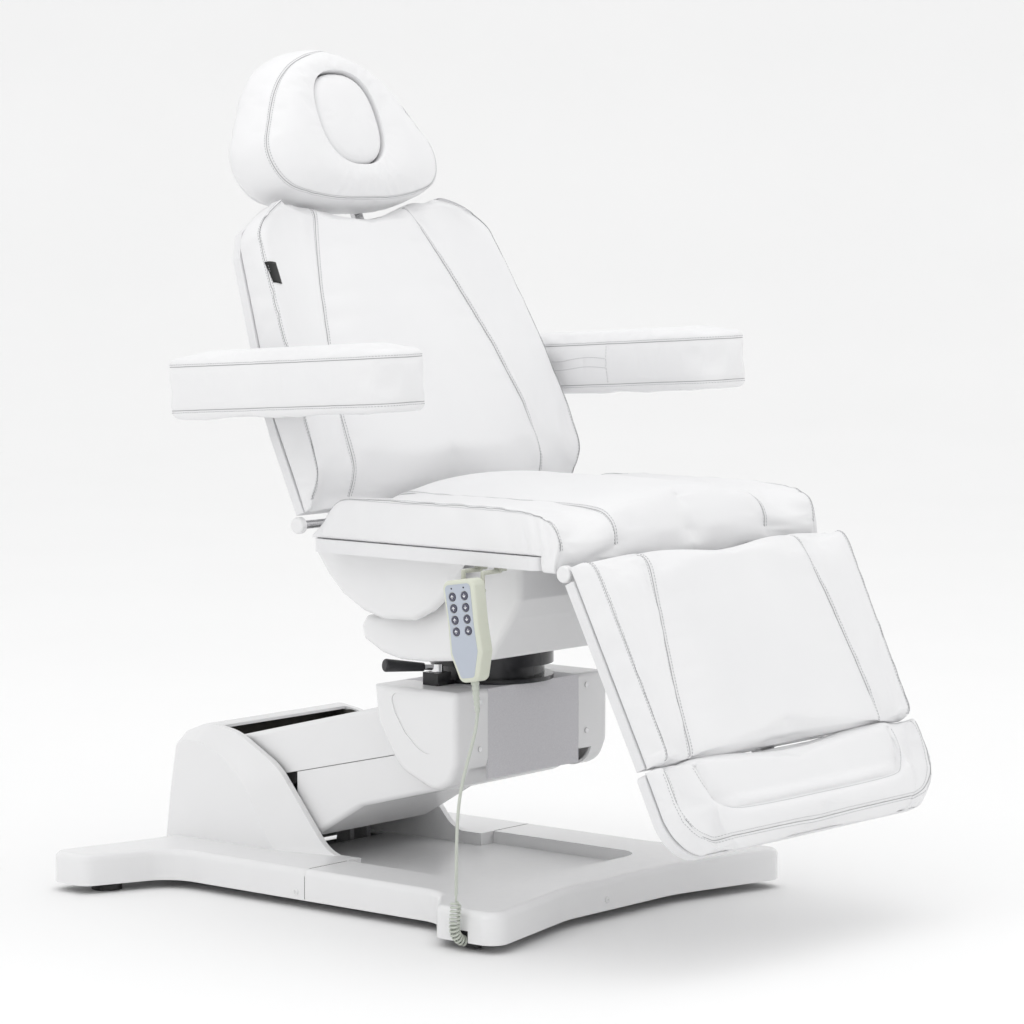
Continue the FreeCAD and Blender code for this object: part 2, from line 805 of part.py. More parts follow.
def base_frame():
    """Welded tube frame with the uprights that carry the arm and the link."""
    top = base_top_z - shell_wall - seat_gap
    tubes = [box(frame_rail_inner, frame_rail_outer, frame_front_y + frame_tube, frame_rear_y,
                 frame_z, top),
             box(-frame_rail_outer, -frame_rail_inner, frame_front_y + frame_tube, frame_rear_y,
                 frame_z, top),
             box(-frame_front_half, frame_front_half, frame_front_y, frame_front_y + frame_tube,
                 frame_z, top),
             box(-frame_rear_half, frame_rear_half, frame_rear_y, frame_rear_y + frame_tube,
                 frame_z, top)]
    plate_y0 = arm_base_y - bracket_half_y
    plate_y1 = arm_base_y + bracket_half_y
    plate = box(-frame_rail_inner, frame_rail_inner, plate_y0, plate_y1,
                frame_z, frame_z + bracket_foot_z)
    upright = side_prism([(plate_y0, frame_z), (plate_y1, frame_z),
                          (arm_base_y + bracket_eye_r, arm_base_z),
                          (arm_base_y - bracket_eye_r, arm_base_z)],
                         bracket_inner, bracket_inner + bracket_wall)
    upright = upright.fuse(rod_x(bracket_inner, bracket_inner + bracket_wall,
                                 arm_base_y, arm_base_z, bracket_eye_r))
    bracket = plate.fuse([upright, mirror_x(upright)])
    link_z = arm_base_z - link_drop
    lug = side_prism([(arm_base_y - link_eye_r, frame_z), (arm_base_y + link_eye_r, frame_z),
                      (arm_base_y + link_eye_r, link_z), (arm_base_y - link_eye_r, link_z)],
                     link_lug_inner, link_lug_inner + link_lug_wall)
    lug = lug.fuse(rod_x(link_lug_inner, link_lug_inner + link_lug_wall,
                         arm_base_y, link_z, link_eye_r))
    link_pin = rod_x(-link_lug_inner - link_lug_wall, link_lug_inner + link_lug_wall,
                     arm_base_y, link_z, link_pin_r)
    bracket = bracket.fuse([lug, mirror_x(lug), link_pin])
    pin_y, pin_z = lift_pin()
    lug = side_prism([(plate_y0, frame_z), (arm_base_y, frame_z),
                      (pin_y + bracket_wall, pin_z), (pin_y - bracket_wall, pin_z)],
                     lift_lug_x, lift_lug_x + lift_lug_wall)
    lug = lug.fuse(rod_x(lift_lug_x, lift_lug_x + lift_lug_wall, pin_y, pin_z, bracket_wall))
    peg = rod_x(lift_x - yoke_thick / 2, lift_lug_x, pin_y, pin_z, lift_pin_r)
    bracket = bracket.fuse([lug, peg])
    bore = rod_x(-carriage_half, carriage_half, arm_base_y, arm_base_z,
                 base_shaft_r + running_gap)
    return tubes + [bracket.cut(bore)]


def levelling_feet():
    feet = []
    places = [(frame_rear_half - foot_inset, frame_rear_y + frame_tube / 2),
              (frame_front_half - foot_inset, frame_front_y + frame_tube / 2)]
    for x, y in places:
        for side in (-1, 1):
            pad = rod_z(side * x, y, 0, foot_pad_h, foot_pad_r)
            feet.append(pad.fuse(rod_z(side * x, y, foot_pad_h, frame_z, foot_stem_r)))
    return feet


def power_inlet():
    """Mains socket body behind a thin flange on the housing's rear wall."""
    rear = housing_rear_y - inlet_flange
    body = box(seat_gap - inlet_half, inlet_half - seat_gap, rear - inlet_depth,
               rear, inlet_z + seat_gap, inlet_z + inlet_height - seat_gap)
    pocket = box(-inlet_half / 2, inlet_half / 2, rear - inlet_depth / 2, rear + cut_over,
                 inlet_z + inlet_height * inlet_pin_share,
                 inlet_z + inlet_height * (1 - inlet_pin_share))
    return body.cut(pocket)


# Lift arm
def arm_way():
    """Unit vectors along the arm, from the base to the head, and square to it."""
    along = vec(0, arm_head_y - arm_base_y, arm_head_z - arm_base_z).normalize()
    return along, vec(0, along.z, -along.y)


def on_arm(u, v):
    """Point in the YZ plane at u along the arm and v above its centre line."""
    along, above = arm_way()
    point = vec(0, arm_base_y, arm_base_z) + along * u + above * v
    return point.y, point.z


def arm_length():
    return math.hypot(arm_head_y - arm_base_y, arm_head_z - arm_base_z)


def arm_rise_deg():
    return math.degrees(math.atan2(arm_head_z - arm_base_z, arm_base_y - arm_head_y))


def arm_body(inset):
    """Whole barrel of the arm, drawn in by the wall for its hollow."""
    along, above = arm_way()
    half = arm_half - inset
    rear_r = arm_rear_r - inset
    front_r = arm_front_r - inset
    top_rear = on_arm(0, rear_r)
    top_front = on_arm(arm_length(), front_r)
    low_front = on_arm(arm_length(), -front_r)
    outline = [top_rear, top_front, (arm_head_y, arm_head_z), low_front,
               (arm_waist_y, arm_waist_z + inset), (arm_belly_y, arm_belly_z + inset),
               (arm_lower_rear_y, arm_belly_z + inset), (arm_base_y, arm_base_z)]
    barrel = side_prism(outline, -half, half)
    barrel = barrel.fuse(rod_x(-half, half, arm_base_y, arm_base_z, rear_r))
    return barrel.fuse(rod_x(-half, half, arm_head_y, arm_head_z, front_r)).removeSplitter()


def part_wedge(drop):
    """Everything above the parting line between the two arm covers."""
    low_rear = on_arm(-arm_rear_r - cut_over, -drop)
    low_front = on_arm(arm_length() + arm_front_r + cut_over, -drop)
    high_front = on_arm(arm_length() + arm_front_r + cut_over, arm_length())
    high_rear = on_arm(-arm_rear_r - cut_over, arm_length())
    return side_prism([low_rear, low_front, high_front, high_rear], -carriage_half, carriage_half)


def arm_shell():
    shell = rounded_sides(arm_body(0), arm_half, arm_edge_r).cut(arm_body(shell_wall))
    slot = box(-arm_slot_half, arm_slot_half, arm_head_y - arm_front_r - cut_over,
               arm_slot_rear_y, arm_head_z, carriage_top_z)
    low_slot = box(-arm_slot_half, arm_slot_half, arm_head_y - arm_front_r - cut_over,
                   arm_head_y, arm_head_z - arm_front_r * arm_cap_share, carriage_top_z)
    holes = rod_x(-carriage_half, carriage_half, arm_head_y, arm_head_z, arm_hole_r)
    return shell.cut([slot, low_slot, holes])


def arm_upper_cover():
    cover = arm_shell().common(part_wedge(arm_part_drop))
    rear_low = on_arm(-arm_rear_r - cut_over, arm_rear_r * arm_rear_cut_share)
    rear_high = on_arm(0, arm_rear_r * arm_rear_cut_share)
    rear_foot = on_arm(0, -arm_rear_r - cut_over)
    rear_end = on_arm(-arm_rear_r - cut_over, -arm_rear_r - cut_over)
    return cover.cut(side_prism([rear_low, rear_high, rear_foot, rear_end],
                                -carriage_half, carriage_half))


def arm_lower_cover():
    cover = arm_shell().cut(part_wedge(arm_part_drop + arm_part_gap))
    return cover.cut(box(-carriage_half, carriage_half, arm_lower_rear_y - shell_wall,
                         arm_base_y + arm_rear_r + cut_over, 0, carriage_top_z))


def arm_beam():
    """Two flat bars joined by cross tubes, with the stub that holds the actuator."""
    rear = (arm_base_y, arm_base_z)
    front = (arm_head_y, arm_head_z)
    bars = []
    for x0 in (beam_inner, -beam_inner - beam_wall):
        bars.append(bar_plate(rear, front, beam_half_h, beam_eye_r, x0, x0 + beam_wall))
    tie_y, tie_z = on_arm(arm_length() * beam_tie_share, beam_tie_v)
    tie = rod_x(-beam_inner, beam_inner, tie_y, tie_z, beam_tie_r)
    stub_y, stub_z = on_arm(lift_stub_u, lift_drop())
    stub = rod_x(lift_stub_x, beam_inner + beam_wall, stub_y, stub_z, lift_stub_r)
    root = on_arm(lift_stub_u, 0)
    lug = bar_plate((stub_y, stub_z), root, lift_stub_r, lift_stub_r,
                    beam_inner, beam_inner + beam_wall)
    beam = bars[0].fuse([bars[1], tie, stub, lug])
    for y, z, radius in ((arm_base_y, arm_base_z, base_shaft_r),
                         (arm_head_y, arm_head_z, head_shaft_r)):
        beam = beam.cut(rod_x(-carriage_half, carriage_half, y, z, radius))
    return beam


def arm_shafts():
    base_half = bracket_inner + bracket_wall
    return [rod_x(-base_half, base_half, arm_base_y, arm_base_z, base_shaft_r),
            rod_x(-head_shaft_half, head_shaft_half, arm_head_y, arm_head_z, head_shaft_r)]


def lift_pin():
    """Pin of the base that the lift actuator pushes on."""
    turn = math.radians(lift_crank_deg)
    return (arm_base_y - lift_crank_r * math.sin(turn),
            arm_base_z - lift_crank_r * math.cos(turn))


def lift_drop():
    """Height of the actuator's line, midway between the pin's two extremes."""
    swing = math.radians(lift_crank_deg - arm_rise_deg())
    return -lift_crank_r * (1 + math.cos(swing)) / 2


def along_arm(shape_at_origin, u, v):
    """Place a solid that was drawn with +Y along the arm, towards the head."""
    y, z = on_arm(u, v)
    turned = shape_at_origin.copy()
    turned.Placement = FreeCAD.Placement(vec(lift_x, y, z),
                                         FreeCAD.Rotation(X_AXIS, 180 - arm_rise_deg()))
    return turned


def lift_actuator():
    length = lift_body_end - lift_body_start
    body = Part.makeCylinder(lift_body_r, length, vec(0, 0, 0), Y_AXIS)
    neck = Part.makeCylinder(lift_neck_r, lift_stub_u - lift_body_end, vec(0, length, 0), Y_AXIS)
    eye = Part.makeCylinder(yoke_half, yoke_thick,
                            vec(-yoke_thick / 2, lift_stub_u - lift_body_start, 0), X_AXIS)
    bore = Part.makeCylinder(lift_stub_r + running_gap, yoke_thick + cut_over,
                             vec(-yoke_thick, lift_stub_u - lift_body_start, 0), X_AXIS)
    guide = Part.makeCylinder(lift_rod_r + running_gap, length * lift_guide_share, vec(0, 0, 0), Y_AXIS)
    actuator = body.fuse([neck, eye]).cut([bore, guide])
    return along_arm(actuator, lift_body_start, lift_drop())


def lift_rod():
    """Rod with a slotted yoke round the pin of the base."""
    along, above = arm_way()
    pin_y, pin_z = lift_pin()
    pin = vec(0, pin_y - arm_base_y, pin_z - arm_base_z)
    start = pin.dot(along)
    slot_half = lift_pin_r + yoke_side_play
    yoke = box(-yoke_thick / 2, yoke_thick / 2, -yoke_half, yoke_half, -yoke_half, yoke_half)
    slot = box(-yoke_thick, yoke_thick, -slot_half, slot_half,
               -lift_pin_r - yoke_play, lift_pin_r + yoke_play)
    reach = lift_body_start - start + lift_body_r
    shank = Part.makeCylinder(lift_rod_r, reach - yoke_half, vec(0, yoke_half, 0), Y_AXIS)
    return along_arm(yoke.cut(slot).fuse(shank), start, lift_drop())


def levelling_link():
    rear = (arm_base_y, arm_base_z - link_drop)
    front = (arm_head_y, arm_head_z - link_drop)
    link = bar_plate(rear, front, link_half_h, link_eye_r, -link_half_w, link_half_w)
    for y, z in (rear, front):
        link = link.cut(rod_x(-link_half_w, link_half_w, y, z, link_pin_r + running_gap))
    return link


# Carriage
def carriage_outline(shares):
    return share_points(shares, carriage_front_y, carriage_rear_y - carriage_front_y,
                        carriage_low_z, carriage_top_z - carriage_low_z)


def carriage_caps():
    """Rounded side covers that also wrap round the front and the top."""
    radii = ([0] + [carriage_sweep_r] * 3 + [carriage_nose_r] * 2
             + [carriage_corner_r / 2])
    inner_x = carriage_panel_half + seat_gap
    outline = carriage_outline(carriage_shares)
    cap = side_prism(outline, inner_x, carriage_half, radii)
    cap = round_edges(cap, carriage_edge_r, at_x(carriage_half))
    hollow = inner_side_prism(outline, 0, carriage_half - shell_wall, radii, shell_wall)
    cap = cap.cut(hollow)
    inside = box(0, carriage_cap_inner, carriage_front_y + shell_wall,
                 carriage_rear_y + cut_over, 0, carriage_top_z - shell_wall)
    below = box(0, carriage_cap_inner, carriage_front_y - cut_over,
                carriage_rear_y + cut_over, 0, carriage_panel_low_z)
    cap = cap.cut([inside, below])
    recess = side_prism(carriage_outline(carriage_recess_shares),
                        carriage_half - carriage_recess_deep, carriage_half + cut_over,
                        carriage_recess_r)
    cap = cap.cut(recess)
    return [cap, mirror_x(cap)]


def carriage_front_panel():
    front = box(-carriage_panel_half, carriage_panel_half, carriage_front_y,
                carriage_front_y + shell_wall, carriage_panel_low_z, carriage_top_z)
    top = box(-carriage_panel_half, carriage_panel_half, carriage_front_y, carriage_rear_y,
              carriage_top_z - shell_wall, carriage_top_z)
    return front.fuse(top)


def carriage_frame():
    """Steel inner frame: top plate, side plates on the head shaft and the link's lugs."""
    top_z = carriage_top_z - shell_wall - seat_gap
    outer = carriage_side_inner + carriage_side_wall
    y0 = arm_head_y - carriage_side_half_y
    y1 = arm_head_y + carriage_side_half_y
    frame = box(-outer, outer, y0, y1, carriage_frame_z, top_z)
    frame = frame.fuse(both_sides(carriage_side_inner, outer, y0, y1,
                                  carriage_side_low_z, carriage_frame_z))
    front_y = carriage_front_y + shell_wall + seat_gap
    nose = box(-carriage_panel_half, carriage_panel_half, front_y, y0, carriage_frame_z, top_z)
    link_z = arm_head_z - link_drop
    lug = both_sides(link_lug_inner, link_lug_inner + link_lug_wall, arm_head_y - link_eye_r,
                     arm_head_y + link_eye_r, link_z, carriage_frame_z)
    for side in (1, -1):
        x0 = min(side * link_lug_inner, side * (link_lug_inner + link_lug_wall))
        lug = lug.fuse(rod_x(x0, x0 + link_lug_wall, arm_head_y, link_z, link_eye_r))
    link_pin = rod_x(-link_lug_inner - link_lug_wall, link_lug_inner + link_lug_wall,
                     arm_head_y, link_z, link_pin_r)
    bore = rod_x(-carriage_half, carriage_half, arm_head_y, arm_head_z,
                 head_shaft_r + running_gap)
    return frame.fuse([nose, lug]).cut(bore).fuse(link_pin)


def carriage_screws():
    screws = []
    for side in (-1, 1):
        for z in (screw_low_z, screw_high_z):
            head = Part.makeCylinder(screw_r, screw_head,
                                     vec(side * screw_x, carriage_front_y - screw_head, z),
                                     Y_AXIS)
            screws.append(head)
    return screws


def swivel_ring():
    """Fixed half of the swivel, with the bore for the spindle and the clamp's seat."""
    z0 = carriage_top_z
    ring = rod_z(0, swivel_y, z0, z0 + ring_base_h, ring_base_r)
    ring = ring.fuse(rod_z(0, swivel_y, z0, z0 + ring_h, ring_hub_r))
    block = box(clamp_x - clamp_base_half, 0, clamp_y - clamp_base_half,
                clamp_y + clamp_base_half, z0, z0 + ring_base_h)
    post = box(clamp_x - clamp_base_half, clamp_x + clamp_base_half, clamp_y - clamp_base_half,
               clamp_y + clamp_base_half, z0, z0 + ring_base_h + clamp_base_h)
    pin = rod_z(clamp_x, clamp_y, z0, z0 + ring_base_h + clamp_base_h + clamp_hub_h / 2,
                clamp_rod_r)
    bore = rod_z(0, swivel_y, z0, z0 + ring_h + cut_over, spindle_r + running_gap)
    return ring.fuse([block, post, pin]).cut(bore)


def clamp_way():
    turn = math.radians(clamp_deg)
    rise = math.radians(clamp_rise_deg)
    return vec(math.cos(turn) * math.cos(rise), math.sin(turn) * math.cos(rise),
               math.sin(rise))


def clamp_lever():
    z0 = carriage_top_z + ring_base_h + clamp_base_h + seat_gap
    hub = rod_z(clamp_x, clamp_y, z0, z0 + clamp_hub_h, clamp_hub_r)
    start = vec(clamp_x, clamp_y, z0 + clamp_hub_h / 2)
    bar = rod_between(start, start + clamp_way() * clamp_reach, clamp_rod_r)
    bore = rod_z(clamp_x, clamp_y, z0 - cut_over, z0 + clamp_hub_h / 2, clamp_rod_r + running_gap)
    return hub.fuse(bar).cut(bore)


def clamp_grip():
    z0 = carriage_top_z + ring_base_h + clamp_base_h + seat_gap
    start = vec(clamp_x, clamp_y, z0 + clamp_hub_h / 2) + clamp_way() * clamp_reach
    grip = Part.makeCone(grip_small_r, grip_big_r, grip_length, start, clamp_way())
    end = start + clamp_way() * grip_length
    return round_edges(grip, grip_small_r / 2, lambda e: all(
        v.Point.distanceToPoint(end) < grip_big_r * grip_end_share for v in e.Vertexes))


# Turntable and belly
def turntable():
    """Turning plate with its spindle, and the bracket that carries the tilting seat."""
    plate = rod_z(0, swivel_y, turntable_z, turntable_z + turntable_h, turntable_r)
    spindle = rod_z(0, swivel_y, carriage_top_z + ring_base_h / 2, turntable_z, spindle_r)
    seat_ring = rod_z(0, swivel_y, turntable_z + turntable_h, belly_z - seat_gap,
                      turntable_seat_r)
    floor_z = turntable_floor_z
    hub = rod_z(0, swivel_y, turntable_z + turntable_h, floor_z, turntable_hub_r)
    outer = tilt_plate_x + tilt_plate_wall
    y0 = tilt_y - tilt_plate_half_y
    y1 = tilt_y + tilt_plate_half_y
    floor = box(-outer, outer, y0, y1, floor_z, floor_z + turntable_plate_h)
    tongue = box(tilt_x - tilt_body_r, tilt_body_r, tilt_y - tilt_lever - tilt_body_r, y1,
                 floor_z, floor_z + turntable_plate_h)
    arms = both_sides(tilt_plate_x, outer, y0, y1, floor_z, tilt_z)
    eyes = rod_x(tilt_plate_x, outer, tilt_y, tilt_z, tilt_eye_r)
    bore = rod_x(-outer, outer, tilt_y, tilt_z, tilt_pin_r + running_gap)
    parts = [spindle, seat_ring, hub, floor, tongue, arms, eyes, mirror_x(eyes)]
    return plate.fuse(parts).cut(bore)


def tilt_plate_slots(rear_y, low_z):
    """Room for the two upright tilt plates in a cover."""
    return both_sides(tilt_plate_x - moving_gap, tilt_plate_x + tilt_plate_wall + moving_gap,
                      tilt_y - tilt_plate_half_y - moving_gap, rear_y,
                      low_z, seat_board_z)


def belly_outline():
    return share_points(belly_shares, belly_front_y, belly_rear_y - belly_front_y,
                        belly_z, belly_top_z - belly_z)


def belly_cover():
    """Bowl round the swivel and the tilt drive, open at the top."""
    radii = [0] + [belly_corner_r / 2] * 11 + [0]
    radii[10] = belly_corner_r / 4
    radii[11] = belly_corner_r / 4
    outer = side_prism(belly_outline(), -belly_half, belly_half, radii)
    outer = rounded_sides(outer, belly_half, belly_edge_r)
    hollow = inner_side_prism(belly_outline(), shell_wall - belly_half, belly_half - shell_wall,
                              radii, shell_wall)
    lip_z = belly_z + (belly_top_z - belly_z) * belly_lip_share
    rear_z = belly_z + (belly_top_z - belly_z) * belly_mouth_share
    mouth = side_prism([(belly_front_y + shell_wall, belly_top_z + cut_over),
                        (belly_front_y + shell_wall, lip_z),
                        (belly_rear_y - belly_mouth_inset, rear_z - shell_wall),
                        (belly_rear_y - belly_mouth_inset, belly_top_z + cut_over)],
                       shell_wall - belly_half, belly_half - shell_wall)
    hole = rod_z(0, swivel_y, belly_z - cut_over, turntable_floor_z + shell_wall,
                 turntable_hub_r + seat_gap)
    slots = tilt_plate_slots(tilt_y + tilt_plate_half_y + moving_gap, turntable_floor_z)
    pan = box(-seat_pan_half - moving_gap, seat_pan_half + moving_gap,
              belly_front_y - cut_over, belly_rear_y, seat_pan_z - moving_gap,
              belly_top_z + cut_over)
    return outer.cut([hollow, mouth, hole, slots, pan])


def tilt_peg_z():
    """Height of the seat's peg at rest, as far below the pivot as it ends above it."""
    return tilt_z - tilt_lever * math.sin(math.radians(tilt_deg / 2))


def tilt_peg_y():
    return tilt_y - tilt_lever * math.cos(math.radians(tilt_deg / 2))


def tilt_actuator():
    z0 = turntable_floor_z + turntable_plate_h
    body = rod_z(tilt_x, tilt_peg_y(), z0, tilt_body_top_z, tilt_body_r)
    guide = rod_z(tilt_x, tilt_peg_y(), z0 + shell_wall, tilt_body_top_z + cut_over,
                  tilt_rod_r + running_gap)
    return body.cut(guide)


def tilt_rod():
    peg_y = tilt_peg_y()
    peg_z = tilt_peg_z()
    head = box(tilt_x - tilt_fork_thick / 2, tilt_x + tilt_fork_thick / 2,
               peg_y - tilt_fork_half, peg_y + tilt_fork_half,
               peg_z - tilt_fork_half, peg_z + tilt_fork_half)
    slot = box(tilt_x - tilt_fork_thick, tilt_x + tilt_fork_thick,
               peg_y - tilt_peg_r - yoke_play, peg_y + tilt_peg_r + yoke_play,
               peg_z - tilt_peg_r - yoke_side_play, peg_z + tilt_peg_r + yoke_side_play)
    low = turntable_floor_z + turntable_plate_h + shell_wall + moving_gap
    shank = rod_z(tilt_x, peg_y, low, peg_z - tilt_fork_half, tilt_rod_r)
    return head.cut(slot).fuse(shank)


# Seat
def seat_board():
    plan = mirrored([(seat_board_half, seat_board_front_y), (seat_board_half, seat_board_rear_y)])
    return plan_prism(plan, seat_board_z, seat_board_z + seat_board_h, seat_board_corner_r)


def seat_cushion():
    """Pad with rolled front, sloping rear end and a channel each side of the centre."""
    base = seat_board_z + seat_board_h + seat_gap
    length = seat_rear_y - seat_front_y
    flat = [(share, 1.0) for share in seat_flat_shares]
    stations = seat_rear_shares + flat + seat_front_shares
    wires = []
    for share, height in stations:
        wires.append(pad_section(seat_front_y + length * share, base, seat_half,
                                 seat_thick * height,
                                 (seat_thick + seat_crown) * height, seat_seam_half,
                                 (seat_thick - seat_seam_dip) * height,
                                 (seat_thick + seat_panel_crown) * height, seat_side_pull))
    return Part.makeLoft(wires, True, True)


def seat_eye(y, z, front):
    """Bearing plate between the pan and a hinge shaft."""
    pan_top = seat_pan_z + seat_pan_h
    if front:
        points = [(seat_board_front_y + hinge_eye_r, seat_pan_z), (y, z - hinge_eye_r),
                  (y, z + hinge_eye_r), (seat_board_front_y - hinge_eye_r, pan_top),
                  (seat_board_front_y + hinge_eye_r, pan_top)]
    else:
        points = [(seat_board_rear_y - hinge_eye_r, seat_pan_z),
                  (seat_rear_y + shell_wall, seat_pan_z), (y + hinge_eye_r, z),
                  (y - hinge_eye_r, z), (seat_rear_y + moving_gap, z - hinge_eye_r - moving_gap),
                  (seat_board_rear_y + moving_gap, pan_top),
                  (seat_board_rear_y - hinge_eye_r, pan_top)]
    plate = side_prism(points, seat_eye_inner, seat_eye_inner + seat_eye_wide)
    return plate.fuse(rod_x(seat_eye_inner, seat_eye_inner + seat_eye_wide, y, z, hinge_eye_r))


def seat_frame():
    """Pressed steel pan with hinge eyes, tilt stubs and the peg of the tilt drive."""
    frame = box(-seat_pan_half, seat_pan_half, seat_board_front_y, seat_board_rear_y,
                seat_pan_z, seat_pan_z + seat_pan_h)
    extras = []
    for y, z, front in ((back_hinge_y, back_hinge_z, False), (leg_hinge_y, leg_hinge_z, True)):
        eye = seat_eye(y, z, front)
        extras += [eye, mirror_x(eye)]
    lug = box(tilt_lug_x, seat_pan_half, tilt_y - tilt_eye_r, tilt_y + tilt_eye_r,
              tilt_z - tilt_eye_r, seat_pan_z)
    stub = rod_x(seat_pan_half, tilt_plate_x + tilt_plate_wall, tilt_y, tilt_z, tilt_pin_r)
    extras += [lug, mirror_x(lug), stub, mirror_x(stub)]
    peg_y = tilt_peg_y()
    peg_z = tilt_peg_z()
    plate_x = tilt_x - tilt_fork_thick / 2 - moving_gap
    drop = box(plate_x - tilt_drop_wall, plate_x, peg_y - tilt_fork_half, peg_y + tilt_fork_half,
               peg_z - tilt_peg_r * 2, seat_pan_z)
    peg = rod_x(plate_x, tilt_x + tilt_fork_thick / 2, peg_y, peg_z, tilt_peg_r)
    extras += [drop, peg]
    frame = frame.fuse(extras)
    for y, z in hinge_places():
        frame = frame.cut(rod_x(-carriage_half, carriage_half, y, z, hinge_pin_r + running_gap))
    return frame


def hinge_places():
    return (back_hinge_y, back_hinge_z), (leg_hinge_y, leg_hinge_z)


def hinge_shafts():
    return [rod_x(-hinge_shaft_half, hinge_shaft_half, y, z, hinge_pin_r)
            for y, z in hinge_places()]


def hinge_caps():
    caps = []
    x0 = hinge_shaft_half + seat_gap
    for y, z in hinge_places():
        cap = rod_x(x0, x0 + hinge_cap_h, y, z, hinge_cap_r)
        cap = round_edges(cap, hinge_cap_h * hinge_cap_edge_share, at_x(x0 + hinge_cap_h))
        caps += [cap, mirror_x(cap)]
    return caps


def seat_skirt():
    """Side cover hung under the board: two cheeks and a curved rear."""
    points = share_points(skirt_shares, skirt_front_y, skirt_rear_y - skirt_front_y,
                          skirt_low_z, seat_board_z - seat_gap - skirt_low_z)
    radii = [0] + [skirt_corner_r] * 9 + [0]
    outer = rounded_sides(side_prism(points, -skirt_half, skirt_half, radii), skirt_half,
                          skirt_edge_r, seat_board_z - seat_gap)
    top = seat_board_z + cut_over
    hollow = inner_side_prism(points, shell_wall - skirt_half, skirt_half - shell_wall, radii,
                              shell_wall)
    mouth = box(shell_wall - skirt_half, skirt_half - shell_wall,
                skirt_front_y + shell_wall, skirt_rear_y - skirt_mouth_inset,
                seat_pan_z, top)
    opening = box(-skirt_open_half, skirt_open_half, skirt_front_y - cut_over,
                  skirt_open_rear_y, 0, top)
    above = box(-skirt_half, skirt_half, skirt_front_y, skirt_rear_y, seat_board_z - seat_gap, top)
    slots = tilt_plate_slots(skirt_slot_rear_y, skirt_low_z - cut_over)
    return outer.cut([hollow, mouth, opening, above, slots])


# Backrest
def back_half_at(d):
    """Half width of the backrest: full at the bottom, tapering, then the shoulders."""
    if d <= back_taper_start:
        return back_half - (1 - d / back_taper_start) * back_side_pull * 2
    if d <= back_shoulder_start:
        part = (d - back_taper_start) / (back_shoulder_start - back_taper_start)
        return back_half - part * (back_half - back_top_half)
    part = (d - back_shoulder_start) / (back_board_top - back_shoulder_start)
    return (back_top_half - (back_top_half - back_dip_half * back_shoulder_share)
            * part ** back_shoulder_power)


def back_stations():
    mid = [(share, 1.0) for share in back_mid_shares]
    return back_low_shares + mid + back_top_shares


def dip_cutter(z0, z1, grow):
    """Shallow round hollow in the backrest's top edge, under the headrest."""
    radius = (back_dip_half ** 2 + back_dip_deep ** 2) / (2 * back_dip_deep)
    centre = back_board_top - back_dip_deep + radius - grow
    return rod_z(0, centre, z0, z1, radius)


def back_board():
    stations = [back_board_start + (back_board_top - back_board_start) * i / back_board_steps
                for i in range(back_board_steps + 1)]
    points = mirrored([(back_half_at(d), d) for d in stations])
    board = plan_prism(points, 0, back_board_thick)
    board = board.cut(dip_cutter(-cut_over, cut_over, 0))
    return place(board, back_hinge_y, back_hinge_z, back_deg)


def back_cushion():
    """Pad with a raised bolster down each side of a sunk, tapering centre panel."""
    base = back_board_thick + seat_gap
    length = back_board_top - back_board_start
    wires = []
    for share, height in back_stations():
        d = back_board_start + length * share
        seam = back_seam_low_half + (back_seam_top_half - back_seam_low_half) * share
        sink = back_seam_dip * (back_low_sink_share + (1 - back_low_sink_share) * share)
        wires.append(pad_section(d, base, back_half_at(d), back_thick * height,
                                 (back_thick + back_crown) * height, seam,
                                 (back_thick - sink) * height,
                                 (back_thick - back_panel_dip * share) * height,
                                 back_side_pull))
    pad = Part.makeLoft(wires, True, True)
    pad = pad.cut(dip_cutter(-cut_over, back_thick * 2, 0))
    return place(pad, back_hinge_y, back_hinge_z, back_deg)


def back_frame():
    """Steel spine, foot with hinge eyes, armrest bar with pivots and headrest sleeves."""
    top = -seat_gap
    low = top - spine_thick
    spine = box(-spine_half, spine_half, back_board_start, spine_top, low, top)
    foot = box(-spine_foot_half, spine_foot_half, back_board_start, spine_foot, low, top)
    bar = box(-arm_bar_half, arm_bar_half, arm_bar_low, arm_bar_high, low, top)
    x0 = seat_eye_inner + seat_eye_wide + other_eye_gap
    web = both_sides(x0, spine_foot_half, 0, spine_foot, low, top)
    eyes = rod_x(x0, spine_foot_half, 0, 0, hinge_eye_r)
    frame = spine.fuse([foot, bar, web, eyes, mirror_x(eyes)])
    for side in (-1, 1):
        x = side * sleeve_x
        sleeve = box(x - sleeve_half, x + sleeve_half, sleeve_start, sleeve_end,
                     top - sleeve_deep, top)
        bore = box(x - bar_half - bar_play, x + bar_half + bar_play, sleeve_start - cut_over,
                   sleeve_end + cut_over, top - bar_back - bar_thick - bar_play,
                   top - bar_back + bar_play)
        frame = frame.fuse(sleeve).cut(bore)
    frame = place(frame, back_hinge_y, back_hinge_z, back_deg)
    pivot_y, pivot_z = armrest_pivot()
    pivot = rod_x(arm_bar_half - bar_thick, armrest_x - seat_gap, pivot_y, pivot_z,
                  armrest_boss_r)
    pin = rod_x(armrest_x - seat_gap, armrest_x + armrest_pin_deep, pivot_y, pivot_z,
                armrest_pin_r)
    frame = frame.fuse([pivot, pin, mirror_x(pivot), mirror_x(pin)])
    return frame.cut(rod_x(-carriage_half, carriage_half, back_hinge_y, back_hinge_z,
                           hinge_pin_r + running_gap))


def on_back(d, n):
    turn = math.radians(back_deg)
    return (back_hinge_y + d * math.cos(turn) - n * math.sin(turn),
            back_hinge_z + d * math.sin(turn) + n * math.cos(turn))


def armrest_pivot():
    return on_back((arm_bar_low + arm_bar_high) / 2, -seat_gap - spine_thick / 2)


